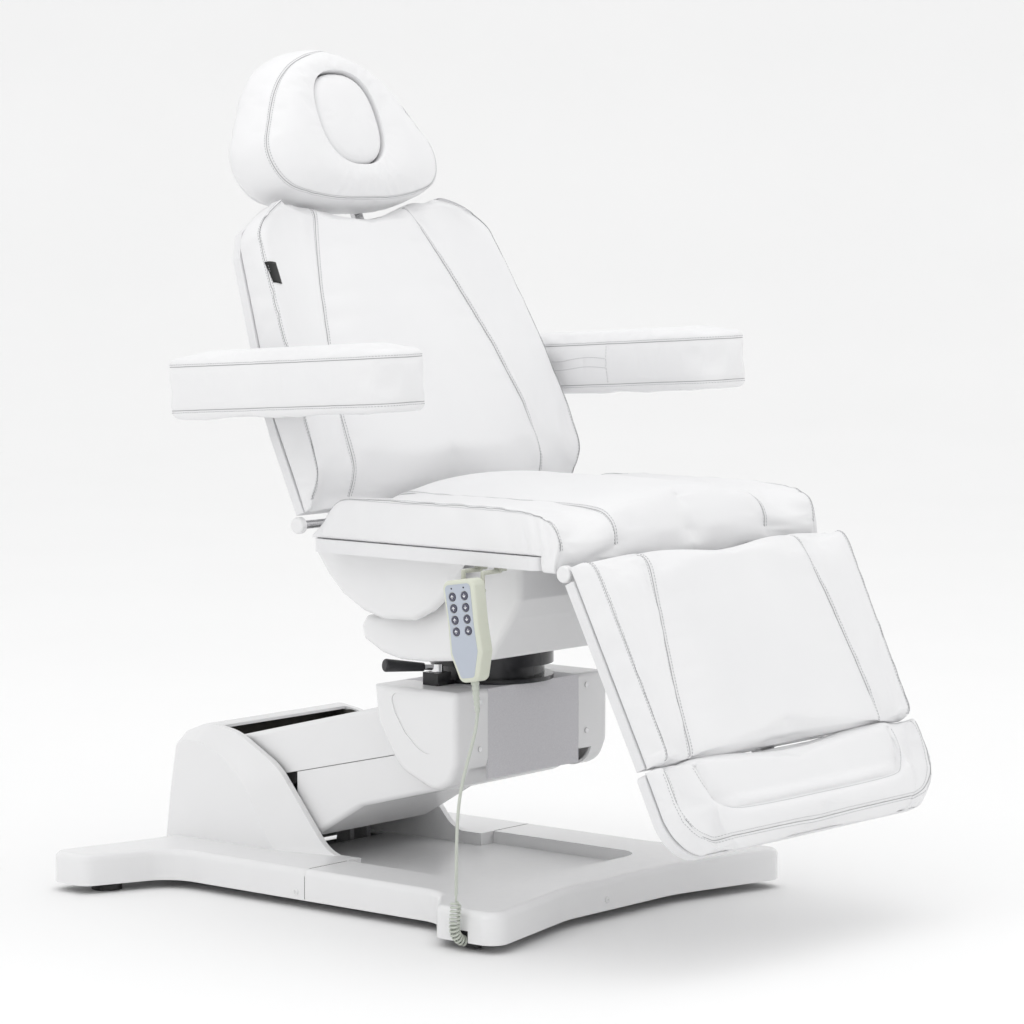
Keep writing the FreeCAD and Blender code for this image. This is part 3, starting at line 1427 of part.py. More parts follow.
def headrest_bars():
    """Two flat bars that slide in the sleeves and carry the headrest's hinge tube."""
    top = -seat_gap - bar_back
    shape = rod_x(-head_tube_half, head_tube_half, head_hinge_d, head_hinge_n, head_tube_r)
    shape = shape.fuse(rod_x(-head_pin_half, head_pin_half, head_hinge_d, head_hinge_n,
                             head_pin_r))
    for side in (-1, 1):
        x = side * sleeve_x
        shape = shape.fuse(box(x - bar_half, x + bar_half, bar_start, head_hinge_d,
                               top - bar_thick, top))
    return place(shape, back_hinge_y, back_hinge_z, back_deg)


# Headrest
def head_outline(z, inset):
    """Rounded outline, widest low down, that draws in most at its sides."""
    half = head_half - inset
    low = head_low_d + inset * head_low_pull_share
    height = head_high_d - inset * head_high_pull_share - low
    points = mirrored([(half * a, low + height * b) for a, b in head_outline_shares])
    radii = [head_tall * share for share in head_corner_shares]
    return rounded_wire([vec(x, y, z) for x, y in points], radii + radii[::-1])


def face_oval(z0, z1, grow):
    oval = Part.Ellipse(vec(0, face_hole_d + face_half_l + grow, z0),
                        vec(face_half_w + grow, face_hole_d, z0), vec(0, face_hole_d, z0))
    return extrude(Part.Wire(oval.toShape()), vec(0, 0, z1 - z0))


def head_board():
    board = extrude(head_outline(head_base_n, head_board_inset), vec(0, 0, head_board_thick))
    board = board.cut(face_oval(-cut_over, cut_over, face_gap))
    lugs = both_sides(head_lug_x, head_lug_x + head_lug_wide, head_hinge_d - head_lug_r,
                      head_hinge_d + head_lug_r, head_hinge_n, head_base_n)
    eye = rod_x(head_lug_x, head_lug_x + head_lug_wide, head_hinge_d, head_hinge_n, head_lug_r)
    board = board.fuse([lugs, eye, mirror_x(eye)])
    board = board.cut(rod_x(-head_half, head_half, head_hinge_d, head_hinge_n,
                            head_pin_r + running_gap))
    return place(board, back_hinge_y, back_hinge_z, back_deg)


def head_cushion():
    base = head_base_n + head_board_thick + seat_gap
    pad = layered_pad(head_outline, head_layers, base, head_thick,
                      head_high_d - head_low_d)
    pad = pad.cut(face_oval(-cut_over, head_thick * 2, face_gap))
    return place(pad, back_hinge_y, back_hinge_z, back_deg)


def face_insert():
    """Oval plug that closes the face hole."""
    top = head_base_n + head_board_thick + seat_gap + head_thick
    pad = face_oval(head_base_n + face_back_gap, top - face_crown, 0)
    crown = face_oval(top - face_crown, top, -face_crown)
    return place(pad.fuse(crown), back_hinge_y, back_hinge_z, back_deg)


# Armrests
def armrest_pad():
    """Long pad with round ends, drawn in along its top and bottom edges."""
    def outline(z, inset):
        x0 = armrest_x + inset
        x1 = armrest_x + armrest_wide - inset
        points = [(x0, inset - armrest_length), (x1, inset - armrest_length), (x1, -inset),
                  (x0, -inset)]
        return rounded_wire([vec(x, y, z) for x, y in points], armrest_corner_r - inset)

    pad = layered_pad(outline, armrest_layers, -armrest_height / 2, armrest_height,
                      armrest_wide)
    pad = place(pad, armrest_rear_y, armrest_rear_z, -armrest_pitch_deg)
    y, z = armrest_pivot()
    bore = rod_x(0, armrest_x + armrest_pin_deep + moving_gap, y, z,
                 armrest_pin_r + running_gap)
    return pad.cut(bore)


# Legrest, drawn with +Y towards the hinge and then turned down
def on_leg(shape):
    return place(shape, leg_hinge_y, leg_hinge_z, leg_deg)


def leg_board():
    plan = mirrored([(leg_half, -leg_board_start), (leg_low_half, -leg_board_end)])
    return on_leg(plan_prism(plan, 0, leg_board_thick, 0))


def leg_cushion():
    """Pad with a bolster down each side, square at the hinge and rounded at the foot."""
    base = leg_board_thick + seat_gap
    length = leg_board_end - leg_pad_start
    stations = leg_high_shares + [(share, 1.0) for share in leg_mid_shares] + leg_low_shares
    wires = []
    for share, height in stations:
        half = leg_half + (leg_low_half - leg_half) * share
        seam = leg_seam_high_half + (leg_seam_low_half - leg_seam_high_half) * share
        wires.append(pad_section(-leg_pad_start - length * share, base, half,
                                 leg_thick * height, (leg_thick + leg_crown) * height, seam,
                                 (leg_thick - leg_seam_dip) * height,
                                 (leg_thick + leg_panel_dip) * height, leg_side_pull))
    return on_leg(Part.makeLoft(wires, True, True))


def leg_frame():
    """Steel plate behind the board, hinge eyes, the crank and the sleeve for the slide bar."""
    top = -seat_gap
    low = top - leg_plate_thick
    plate = box(-leg_plate_half, leg_plate_half, -leg_board_end, -leg_plate_start, low, top)
    x0 = seat_eye_inner - other_eye_gap - seat_eye_wide
    x1 = seat_eye_inner - other_eye_gap
    webs = both_sides(x0, x1, -leg_plate_start, 0, low, top)
    eye = rod_x(x0, x1, 0, 0, hinge_eye_r)
    outer = slide_half + slide_gap + sleeve_wall
    deep = slide_thick + slide_gap * 2 + sleeve_wall
    sleeve = box(-outer, outer, -leg_board_end, -slide_start + slide_thick, low - deep, low)
    bore = box(-slide_half - slide_gap, slide_half + slide_gap, -leg_board_end - cut_over,
               -slide_start + slide_thick + cut_over, low - slide_thick - slide_gap * 2, low)
    frame = plate.fuse([webs, eye, mirror_x(eye), sleeve]).cut(bore)
    frame = on_leg(frame)
    return frame.cut(rod_x(-carriage_half, carriage_half, leg_hinge_y, leg_hinge_z,
                           hinge_pin_r + running_gap))


def slide_bar():
    """Flat bar that carries the footrest and slides in the legrest's sleeve."""
    top = -seat_gap - leg_plate_thick - slide_gap
    bar = box(-slide_half, slide_half, -slide_end, -slide_start, top - slide_thick, top)
    pad_top = -seat_gap
    lug = box(-slide_half, slide_half, -slide_end, -foot_start - moving_gap,
              top - slide_thick, pad_top)
    return on_leg(bar.fuse(lug))


def foot_outline(z, inset):
    points = mirrored([(foot_half - inset, -foot_start - inset), (foot_half - inset,
                                                                  -foot_end + inset)])
    radius = foot_corner_r - inset
    small = slide_thick
    return rounded_wire([vec(x, y, z) for x, y in points], [small, radius, radius, small])


def foot_board():
    return on_leg(extrude(foot_outline(0, 0), vec(0, 0, leg_board_thick)))


def foot_cushion():
    """Pad with a thick rim round three sides and a sunk panel that is open to the top."""
    base = leg_board_thick + seat_gap
    span = foot_end - foot_start
    pad = layered_pad(foot_outline, foot_layers, base, foot_thick, span)
    high = base + foot_thick
    half = foot_half - foot_side_bolster
    low_y = foot_bolster - foot_end
    cuts = []
    for grow in (0, -foot_groove):
        outline = mirrored([(half + grow, -foot_start + cut_over), (half + grow, low_y - grow)])
        radii = [0, foot_corner_r / 2 + grow, foot_corner_r / 2 + grow, 0]
        cuts.append(plan_prism(outline, high - foot_groove_deep, high + cut_over, radii))
    pad = pad.cut(cuts[0].cut(cuts[1]))
    return on_leg(pad)


# Handset
def on_handset(shape):
    """Turn the handset to face outwards and forwards, leaning a little as it hangs."""
    lean = FreeCAD.Placement(vec(0, 0, 0), FreeCAD.Rotation(Y_AXIS, -handset_lean_deg))
    turn = FreeCAD.Placement(vec(handset_x, handset_y, handset_top_z),
                             FreeCAD.Rotation(Z_AXIS, handset_turn_deg))
    moved = shape.copy()
    moved.Placement = turn.multiply(lean)
    return moved


def handset_case():
    """Two-part moulded case with a hook on its back. Its face looks along -Y before turning."""
    points = [vec(handset_wide * a, 0, handset_tall * b) for a, b in handset_outline_shares]
    case = extrude(rounded_wire(points, handset_corner_r), vec(0, handset_deep, 0))
    rim = [e for e in case.Edges if len({round(v.Point.y, 4) for v in e.Vertexes}) == 1]
    case = case.makeFillet(handset_edge_r, rim)
    for x, z in button_places():
        socket = Part.makeCylinder(button_r + button_gap, button_deep,
                                   vec(x, 0, z), Y_AXIS)
        case = case.cut(socket)
    hook_y = handset_deep
    hook = box(-hook_wide / 2, hook_wide / 2, hook_y - hook_wall, hook_y + hook_reach,
               -hook_top - hook_wall, -hook_top)
    tip = box(-hook_wide / 2, hook_wide / 2, hook_y + hook_reach - hook_wall,
              hook_y + hook_reach, -hook_top - hook_drop, -hook_top)
    return on_handset(case.fuse([hook, tip]))


def button_places():
    places = []
    for row in range(button_rows):
        for x in button_columns:
            places.append((x, -button_top - button_pitch * row))
    return places


def handset_button(x, z):
    button = Part.makeCylinder(button_r, button_deep - button_gap,
                               vec(x, -button_proud, z), Y_AXIS)
    face = lambda e: all(abs(v.Point.y + button_proud) < same_place for v in e.Vertexes)
    return on_handset(round_edges(button, button_edge_r, face))


def holder_bar_local():
    """Centre of the holder's bar in the handset's own axes."""
    gap = (hook_reach - hook_wall) / 2
    return vec(0, handset_deep + gap, -hook_top - hook_wall - seat_gap - holder_bar_r)


def handset_holder():
    """Bent rail under the board's edge, over which the handset's hook drops."""
    centre = holder_bar_local()
    bar = Part.makeCylinder(holder_bar_r, holder_bar_half * 2,
                            vec(-holder_bar_half, centre.y, centre.z), X_AXIS)
    rail = on_handset(bar)
    ends = []
    for side in (-1, 1):
        tip = on_handset(Part.Vertex(side * (holder_bar_half - holder_bar_r), centre.y,
                                     centre.z)).Point
        foot = vec(holder_foot_x, tip.y, seat_board_z - seat_gap)
        knee = vec(tip.x, tip.y, seat_board_z - seat_gap - holder_bar_r * 2)
        ends.append(rod_between(tip, knee, holder_bar_r))
        ends.append(rod_between(knee, vec(foot.x, foot.y, knee.z), holder_bar_r))
        ends.append(box(foot.x - holder_bar_r * 2, foot.x + holder_bar_r * 2,
                        foot.y - holder_bar_r * 2, foot.y + holder_bar_r * 2,
                        knee.z, foot.z))
        ends.append(Part.makeSphere(holder_bar_r, knee))
    return rail.fuse(ends)


def relief_start():
    """Bottom centre of the handset's case."""
    return on_handset(Part.Vertex(0, handset_deep / 2, -handset_tall)).Point


def strain_relief():
    """Tapered sleeve with ribs, between the case and the cord."""
    start = relief_start()
    end = vec(*cord_points[0])
    way = end - start
    step = way.Length / relief_ribs
    relief = None
    for i in range(relief_ribs):
        share = i / relief_ribs
        radius = relief_big_r + (relief_small_r - relief_big_r) * share
        rib = Part.makeCylinder(radius, step * relief_rib_share, start + way * share, way)
        neck = Part.makeCylinder(radius * relief_neck_share, step, start + way * share, way)
        rib = rib.fuse(neck)
        relief = rib if relief is None else relief.fuse(rib)
    up = (on_handset(Part.Vertex(0, 0, 0)).Point
          - on_handset(Part.Vertex(0, 0, -handset_tall)).Point).normalize()
    cord_way = (vec(*cord_points[1]) - end).normalize()
    case_end = Part.makeCylinder(relief_big_r * 2, cut_over, start - up * running_gap, up)
    cord_end = Part.makeCylinder(relief_big_r * 2, cut_over, end - cord_way * running_gap,
                                 cord_way)
    return relief.cut([case_end, cord_end])


def cord_socket():
    """Block on the end of the base frame, into which the curly cord plugs."""
    x0 = curl_points[-1][0]
    x1 = -frame_front_half - seat_gap
    plug = box(x0, x1, cord_socket_front_y, cord_socket_front_y + cord_socket_half * 3,
               cord_socket_low_z, cord_socket_top_z)
    plug = plug.fuse(box(x0, x1, cord_socket_front_y, frame_front_y + frame_tube,
                         frame_z, cord_socket_top_z))
    end = vec(*curl_points[-1])
    way = (end - vec(*curl_points[-2])).normalize()
    mouth = Part.makeCylinder(curl_wire_r * 2, curl_wire_r * 2 + running_gap,
                              end - way * curl_wire_r * 2, way)
    return plug.cut(mouth)


def cord_tube(route, radius, name):
    """Tube of straight runs joined by tangent arcs, and a printed check of its bends."""
    points = [vec(*p) for p in route]
    edges = []
    radii = []
    at = points[0]
    length = 0
    for i in range(1, len(points) - 1):
        before, corner, after = points[i - 1:i + 2]
        run = min(before.distanceToPoint(corner), corner.distanceToPoint(after))
        turn = (corner - before).getAngle(after - corner)
        bend = cord_bend_share * run / math.tan(turn / 2)
        radii.append(bend)
        start, middle, end = corner_arc(before, corner, after, bend)
        edges.append(Part.LineSegment(at, start).toShape())
        edges.append(Part.Arc(start, middle, end).toShape())
        at = end
    edges.append(Part.LineSegment(at, points[-1]).toShape())
    path = Part.Wire(edges)
    ring = Part.Wire(Part.Circle(points[0], points[1] - points[0], radius).toShape())
    tube = path.makePipeShell([ring], True, False)
    length = path.Length
    print(name, "length", round(length, 1), "bends", [round(r) for r in radii],
          "volume ratio", round(tube.Volume / (math.pi * radius ** 2 * length), 4))
    return tube


def curl_axis():
    """Smooth centre line of the curly part."""
    curve = Part.BSplineCurve()
    curve.buildFromPoles([vec(*p) for p in curl_points], False, 2)
    return curve.toShape()


def curl_point(axis, turn):
    """Point of the wire after a number of turns round the centre line."""
    margin = curl_wire_r * 2 + curl_lead
    parameter = axis.getParameterByLength(margin + (axis.Length - margin * 2) * turn / curl_turns)
    way = axis.tangentAt(parameter)
    side = way.cross(Y_AXIS).normalize()
    angle = math.tau * turn
    ring = side * math.cos(angle) + way.cross(side) * math.sin(angle)
    return axis.valueAt(parameter) + ring * curl_r


def biarc(start, start_way, end, end_way):
    """Two arcs that join two points along given directions."""
    span = end - start
    both = start_way + end_way
    bend = 2 * (1 - start_way.dot(end_way))
    reach = span.dot(both)
    reach = (math.sqrt(reach ** 2 + bend * span.dot(span)) - reach) / bend
    first = start + start_way * reach
    second = end - end_way * reach
    joint = (first + second) / 2
    edges = []
    for before, corner, after in ((start, first, joint), (joint, second, end)):
        half = (before - corner).getAngle(after - corner) / 2
        edges.append(Part.Arc(*corner_arc(before, corner, after,
                                          reach * math.tan(half))).toShape())
    return edges


def curl_tube():
    """Curly cord: one unbroken tube wound round its centre line."""
    axis = curl_axis()
    small = 1 / (curl_steps * curl_checks)
    ends = [axis.valueAt(axis.getParameterByLength(at)) for at in (0, axis.Length)]
    tails = [axis.valueAt(axis.getParameterByLength(at))
             for at in (curl_wire_r * 2, axis.Length - curl_wire_r * 2)]
    points = [tails[0]]
    ways = [(tails[0] - ends[0]).normalize()]
    for i in range(curl_turns * curl_steps + 1):
        turn = i / curl_steps
        points.append(curl_point(axis, turn))
        step = curl_point(axis, turn + small) - curl_point(axis, turn - small)
        ways.append(step.normalize())
    points.append(tails[1])
    ways.append((ends[1] - tails[1]).normalize())
    edges = [Part.LineSegment(ends[0], tails[0]).toShape()]
    for i in range(len(points) - 1):
        edges.extend(biarc(points[i], ways[i], points[i + 1], ways[i + 1]))
    edges.append(Part.LineSegment(tails[1], ends[1]).toShape())
    path = Part.Wire(edges)
    ring = Part.Wire(Part.Circle(ends[0], ways[0], curl_wire_r).toShape())
    tube = path.makePipeShell([ring], True, False)
    print("cord_curl length", round(path.Length, 1), "turns", curl_turns,
          "least gap", round(least_gap(axis), 2), "volume ratio",
          round(tube.Volume / (math.pi * curl_wire_r ** 2 * path.Length), 4))
    return tube


def least_gap(axis):
    """Least free space between one turn of the wire and the turns after it."""
    points = [curl_point(axis, i / curl_checks) for i in range(curl_turns * curl_checks + 1)]
    apart = round(curl_checks * curl_apart)
    nearest = math.inf
    for i, point in enumerate(points):
        for other in points[i + apart:i + apart * 3]:
            nearest = min(nearest, point.distanceToPoint(other))
    return nearest - curl_wire_r * 2


def main():
    os.makedirs("parts", exist_ok=True)
    save("front_cover", front_cover())
    save("rear_cover", rear_cover())
    save("base_frame", base_frame())
    save("levelling_feet", levelling_feet())
    save("power_inlet", power_inlet())
    save("arm_upper_cover", arm_upper_cover())
    save("arm_lower_cover", arm_lower_cover())
    save("arm_beam", arm_beam())
    save("arm_shafts", arm_shafts())
    save("lift_actuator", lift_actuator())
    save("lift_actuator_rod", lift_rod())
    save("levelling_link", levelling_link())
    save("carriage_frame", carriage_frame())
    save("carriage_front_panel", carriage_front_panel())
    save("carriage_caps", carriage_caps())
    save("carriage_screws", carriage_screws())
    save("swivel_ring", swivel_ring())
    save("clamp_lever", clamp_lever())
    save("clamp_grip", clamp_grip())
    save("turntable", turntable())
    save("belly_cover", belly_cover())
    save("tilt_actuator", tilt_actuator())
    save("tilt_actuator_rod", tilt_rod())
    save("seat_board", seat_board())
    save("seat_cushion", seat_cushion())
    save("seat_frame", seat_frame())
    save("seat_skirt", seat_skirt())
    save("hinge_shafts", hinge_shafts())
    save("hinge_caps", hinge_caps())
    save("handset_holder", handset_holder())
    save("back_board", back_board())
    save("back_cushion", back_cushion())
    save("back_frame", back_frame())
    save("headrest_bars", headrest_bars())
    save("head_board", head_board())
    save("head_cushion", head_cushion())
    save("face_insert", face_insert())
    right_pad = mirror_x(armrest_pad())
    save("armrest_pad_right", right_pad)
    save("armrest_pad_left", armrest_pad())
    save("leg_board", leg_board())
    save("leg_cushion", leg_cushion())
    save("leg_frame", leg_frame())
    save("foot_board", foot_board())
    save("foot_cushion", foot_cushion())
    save("foot_slide_bar", slide_bar())
    save("handset_case", handset_case())
    save("strain_relief", strain_relief())
    for number, (x, z) in enumerate(button_places(), start=1):
        save("handset_button_" + str(number), handset_button(x, z))
    save("cord_straight", cord_tube(cord_points, cord_r, "cord_straight"))
    save("cord_curl", curl_tube())
    save("cord_socket", cord_socket())


main()
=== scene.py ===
import math

import bmesh
import bpy
import numpy as np
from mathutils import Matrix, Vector
from mathutils.bvhtree import BVHTree


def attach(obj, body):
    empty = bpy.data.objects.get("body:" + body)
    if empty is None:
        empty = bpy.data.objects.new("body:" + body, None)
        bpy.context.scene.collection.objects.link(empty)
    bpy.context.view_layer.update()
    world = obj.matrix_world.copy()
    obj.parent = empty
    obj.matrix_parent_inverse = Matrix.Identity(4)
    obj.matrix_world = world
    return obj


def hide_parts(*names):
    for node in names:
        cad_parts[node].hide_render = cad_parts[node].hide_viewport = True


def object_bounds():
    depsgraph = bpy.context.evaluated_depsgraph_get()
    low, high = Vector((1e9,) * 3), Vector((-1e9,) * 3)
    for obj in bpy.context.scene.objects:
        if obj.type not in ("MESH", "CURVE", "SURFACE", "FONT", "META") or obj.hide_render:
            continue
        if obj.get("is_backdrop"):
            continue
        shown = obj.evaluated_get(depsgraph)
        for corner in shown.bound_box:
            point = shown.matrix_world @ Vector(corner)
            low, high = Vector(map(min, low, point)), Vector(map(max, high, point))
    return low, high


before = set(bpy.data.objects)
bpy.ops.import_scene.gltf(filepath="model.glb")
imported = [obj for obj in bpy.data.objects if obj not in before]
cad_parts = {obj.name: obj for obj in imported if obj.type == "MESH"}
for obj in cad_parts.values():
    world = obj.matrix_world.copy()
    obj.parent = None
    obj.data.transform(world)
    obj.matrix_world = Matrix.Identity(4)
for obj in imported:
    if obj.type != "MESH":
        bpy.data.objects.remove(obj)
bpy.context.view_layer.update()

# Sizes below are millimetres in the chair's own frame and become metres here.
MM = 0.001


def place_new(name, data):
    """Object made from its data and linked to the scene."""
    made = bpy.data.objects.new(name, data)
    bpy.context.scene.collection.objects.link(made)
    return made


# Camera, at the photograph's viewing angle
camera = place_new("camera", bpy.data.cameras.new("camera"))
camera.location = (-4.11836, -3.46034, 1.042)
camera.rotation_euler = (math.radians(84.8), 0, math.radians(-50))
camera.data.lens = 134.3
camera.data.sensor_width = 36
bpy.context.scene.camera = camera

# Cord from the hand control: a straight run, then the curly part that ends in the base
cord_points = [(-333.0, -225.0, 324.0), (-333.4, -223.2, 306.0), (-334.2, -218.4, 286.0),
               (-335.2, -211.0, 262.0), (-336.2, -203.2, 236.0), (-337.2, -197.0, 208.0),
               (-338.0, -193.8, 176.0), (-338.4, -192.8, 142.0), (-338.6, -192.5, 108.0),
               (-338.5, -191.8, 77.0)]
curl_points = [(-338.5, -191.8, 77.0), (-338.5, -191.5, 63.0), (-339.3, -190.4, 47.0),
               (-339.2, -189.0, 33.0), (-335.2, -188.0, 22.8), (-327.8, -188.6, 15.6),
               (-318.4, -189.8, 12.0), (-309.5, -190.9, 11.6)]
cord_r = 2.2
curl_wire_r = 1.6
curl_r = 6.3
curl_lead = 5.0
curl_turns, curl_ease_turns, curl_per_turn = 13, 0.6, 14
point_share = 0.001


def smooth_curve(name, points, radius):
    """Round cord on one smooth line that the points steer.

    Blender counts a point's radius into the curve's box, so the points carry a small one.
    """
    data = bpy.data.curves.new(name, "CURVE")
    data.dimensions = "3D"
    spline = data.splines.new("NURBS")
    spline.points.add(len(points) - 1)
    for at, point in zip(spline.points, points):
        at.co = (*(c * MM for c in point), 1)
        at.radius = point_share
    spline.order_u = 3
    spline.use_endpoint_u = True
    spline.resolution_u = 8
    data.bevel_depth = radius * MM / point_share
    data.bevel_resolution = 5
    data.use_fill_caps = True
    return place_new(name, data)


def mesh_of(guide):
    """Points and faces of a curve object, which is then removed."""
    mesh = bpy.data.meshes.new_from_object(guide)
    points = np.array([v.co for v in mesh.vertices])
    faces = [tuple(f.vertices) for f in mesh.polygons]
    curve = guide.data
    bpy.data.objects.remove(guide)
    bpy.data.curves.remove(curve)
    bpy.data.meshes.remove(mesh)
    return points, faces


def line_of(points):
    """Points along the smooth line of a route, read from its own curve."""
    return mesh_of(smooth_curve("guide", points, 0))[0] / MM


def unit(ways):
    """Ways drawn to length one."""
    return ways / np.linalg.norm(ways, axis=-1, keepdims=True)


def along(line, steps):
    """Points at given distances along a line."""
    run = np.concatenate([[0], np.cumsum(np.linalg.norm(np.diff(line, axis=0), axis=1))])
    return np.stack([np.interp(steps, run, line[:, i]) for i in range(line.shape[1])], axis=1)


def line_length(line):
    return float(np.linalg.norm(np.diff(line, axis=0), axis=1).sum())


def curl_line():
    """Helix wound round the centre line of the curly part, with a straight lead at each end."""
    axis = line_of(curl_points)
    length = line_length(axis)
    margin = curl_wire_r * 2 + curl_lead
    turns = np.arange(curl_turns * curl_per_turn + 1) / curl_per_turn
    steps = margin + (length - margin * 2) * turns / curl_turns
    centre = along(axis, steps)
    way = unit(along(axis, steps + 0.5) - along(axis, steps - 0.5))
    side = unit(np.cross(way, [0, 1, 0]))
    up = np.cross(way, side)
    angle = (math.tau * turns)[:, None]
    opened = np.clip(np.minimum(turns, curl_turns - turns) / curl_ease_turns, 0, 1)[:, None]
    reach = curl_r * np.sin(opened * math.pi / 2)
    helix = centre + (side * np.cos(angle) + up * np.sin(angle)) * reach
    ends = along(axis, np.array([0, curl_wire_r * 2, length - curl_wire_r * 2, length]))
    return np.vstack([ends[:2], helix, ends[2:]])


straight_cord = smooth_curve("straight_cord", cord_points, cord_r)
curly_line = curl_line()
curly_cord = smooth_curve("curly_cord", curly_line, curl_wire_r)
curly_cord.data.splines[0].resolution_u = 2
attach(straight_cord, "handset")
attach(curly_cord, "handset")
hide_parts("cord_straight")
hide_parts("cord_curl")
tuple(c * MM for c in cord_points[0])
line_length(line_of(cord_points)) * MM
tuple(c * MM for c in curl_points[0])
line_length(line_of(curly_line)) * MM


# Materials
class Value:
    """A number or a colour on its way through a material's nodes."""

    def __init__(self, finish, socket):
        self.finish = finish
        self.socket = socket

    def _math(self, operation, *values):
        return self.finish.node("ShaderNodeMath", {"operation": operation}, values)

    def __add__(self, other):
        return self._math("ADD", self, other)

    def __sub__(self, other):
        return self._math("SUBTRACT", self, other)

    def __mul__(self, other):
        return self._math("MULTIPLY", self, other)

    __radd__ = __add__
    __rmul__ = __mul__


class Finish:
    """One procedural material, named for the surface that wears it."""

    def __init__(self, name, **constants):
        self.material = bpy.data.materials.new(name)
        self.material.use_nodes = True
        self.tree = self.material.node_tree
        self.tree.nodes.clear()
        self.place = self.node("ShaderNodeTexCoord", {}, {}, "Object")
        self.shader = self.tree.nodes.new("ShaderNodeBsdfPrincipled")
        out = self.tree.nodes.new("ShaderNodeOutputMaterial")
        self.tree.links.new(self.shader.outputs[0], out.inputs[0])
        for key, value in constants.items():
            self.shader.inputs[key.replace("_", " ")].default_value = value

    def node(self, kind, settings, inputs, output=0):
        made = self.tree.nodes.new(kind)
        for key, value in settings.items():
            if key == "stops":
                ramp = made.color_ramp
                while len(ramp.elements) < len(value):
                    ramp.elements.new(0.5)
                for element, (place, colour) in zip(ramp.elements, value):
                    element.position = place
                    element.color = colour
            else:
                setattr(made, key, value)
        pairs = inputs.items() if isinstance(inputs, dict) else enumerate(inputs)
        for key, value in pairs:
            if isinstance(value, Value):
                self.tree.links.new(value.socket, made.inputs[key])
            else:
                made.inputs[key].default_value = value
        return Value(self, made.outputs[output])

    def wear(self, socket, value):
        self.tree.links.new(value.socket, self.shader.inputs[socket])

    def noise(self, scale, detail=2.0, rough=0.5):
        return self.node("ShaderNodeTexNoise", {},
                         {"Vector": self.place, "Scale": scale, "Detail": detail,
                          "Roughness": rough})

    def cells(self, scale):
        return self.node("ShaderNodeTexVoronoi", {"feature": "DISTANCE_TO_EDGE"},
                         {"Vector": self.place, "Scale": scale})

    def ramp(self, value, *stops):
        return self.node("ShaderNodeValToRGB", {"stops": stops}, {0: value})

    def between(self, share, first, second):
        """Colour that goes from one to the other with a share."""
        return self.node("ShaderNodeMix", {"data_type": "RGBA"},
                         {0: share, 6: (*first, 1.0), 7: (*second, 1.0)}, 2)

    def finished(self, share, low, high, roughness, height, distance):
        """Material of two mixed colours; its bump is in metres once times the distance."""
        self.wear("Base Color", self.between(share, low, high))
        self.wear("Roughness", roughness)
        self.wear("Normal", self.node("ShaderNodeBump", {}, {"Height": height, "Strength": 1.0,
                                                             "Distance": distance}))
        return self.material


black, white = (0.0, 0.0, 0.0, 1.0), (1.0, 1.0, 1.0, 1.0)


def leatherette(name, low, high, gloss):
    """Coated upholstery: fine pebble grain, soft creases and a little tone variation."""
    finish = Finish(name, Specular_IOR_Level=0.45, IOR=1.47)
    grain = finish.cells(620.0)
    pebble = finish.ramp(grain, (0.0, black), (0.35, white))
    creases = finish.noise(38.0, 4.0, 0.6)
    tone = finish.noise(6.0, 3.0)
    return finish.finished(tone, low, high, gloss + 0.12 * tone - 0.05 * pebble,
                           pebble * 0.5 + creases * 1.4, 0.00012)


def moulded(name, low, high, gloss, texture=0.00002):
    """Moulded or painted plastic with a faint orange peel."""
    finish = Finish(name, Specular_IOR_Level=0.5, IOR=1.46)
    peel = finish.noise(900.0)
    tone = finish.noise(5.0, 3.0)
    scuff = finish.noise(60.0, 6.0, 0.7)
    return finish.finished(tone, low, high, gloss + 0.07 * scuff, peel, texture)


def metal(name, low, high, gloss, brushed=0.00001):
    """Steel with fine drawn lines and tarnish that varies slowly."""
    finish = Finish(name, Metallic=1.0)
    stretched = finish.node("ShaderNodeVectorMath", {"operation": "MULTIPLY"},
                            {0: finish.place, 1: (900.0, 60.0, 900.0)})
    lines = finish.node("ShaderNodeTexNoise", {}, {"Vector": stretched, "Scale": 1.0,
                                                   "Detail": 3.0})
    tone = finish.noise(14.0, 4.0)
    return finish.finished(tone, low, high, gloss + 0.1 * lines, lines, brushed)


def paint(name, low, high, gloss, grain, scale):
    """Powder coat: sand-like texture with specks a little darker than the ground."""
    finish = Finish(name, Specular_IOR_Level=0.4)
    sand = finish.noise(scale, 3.0, 0.7)
    specks = finish.ramp(sand, (0.42, black), (0.60, white))
    return finish.finished(specks, low, high, gloss + 0.15 * sand, sand, grain)


def rubber(name, low, high, gloss):
    finish = Finish(name, Specular_IOR_Level=0.35)
    dust = finish.noise(90.0, 5.0, 0.7)
    return finish.finished(dust, low, high, gloss + 0.2 * dust, dust, 0.00006)


white_leather = leatherette("white_leatherette", (0.80, 0.80, 0.81), (0.86, 0.86, 0.865), 0.36)
board_leather = leatherette("board_leatherette", (0.76, 0.76, 0.77), (0.83, 0.83, 0.84), 0.40)
cover_white = moulded("glossy_white_cover", (0.80, 0.80, 0.805), (0.85, 0.85, 0.855), 0.22)
swivel_black = moulded("swivel_black", (0.012, 0.012, 0.014), (0.03, 0.03, 0.033), 0.16)
black_plastic = moulded("black_plastic", (0.014, 0.014, 0.016), (0.032, 0.032, 0.036), 0.30,
                        0.00004)
cream_plastic = moulded("handset_cream", (0.62, 0.64, 0.54), (0.69, 0.71, 0.61), 0.32)
face_blue = moulded("handset_face_blue_grey", (0.45, 0.49, 0.56), (0.50, 0.54, 0.61), 0.34)
button_slate = moulded("button_slate", (0.07, 0.07, 0.10), (0.10, 0.10, 0.14), 0.35)
mark_white = moulded("key_mark_white", (0.72, 0.73, 0.76), (0.80, 0.81, 0.84), 0.4)
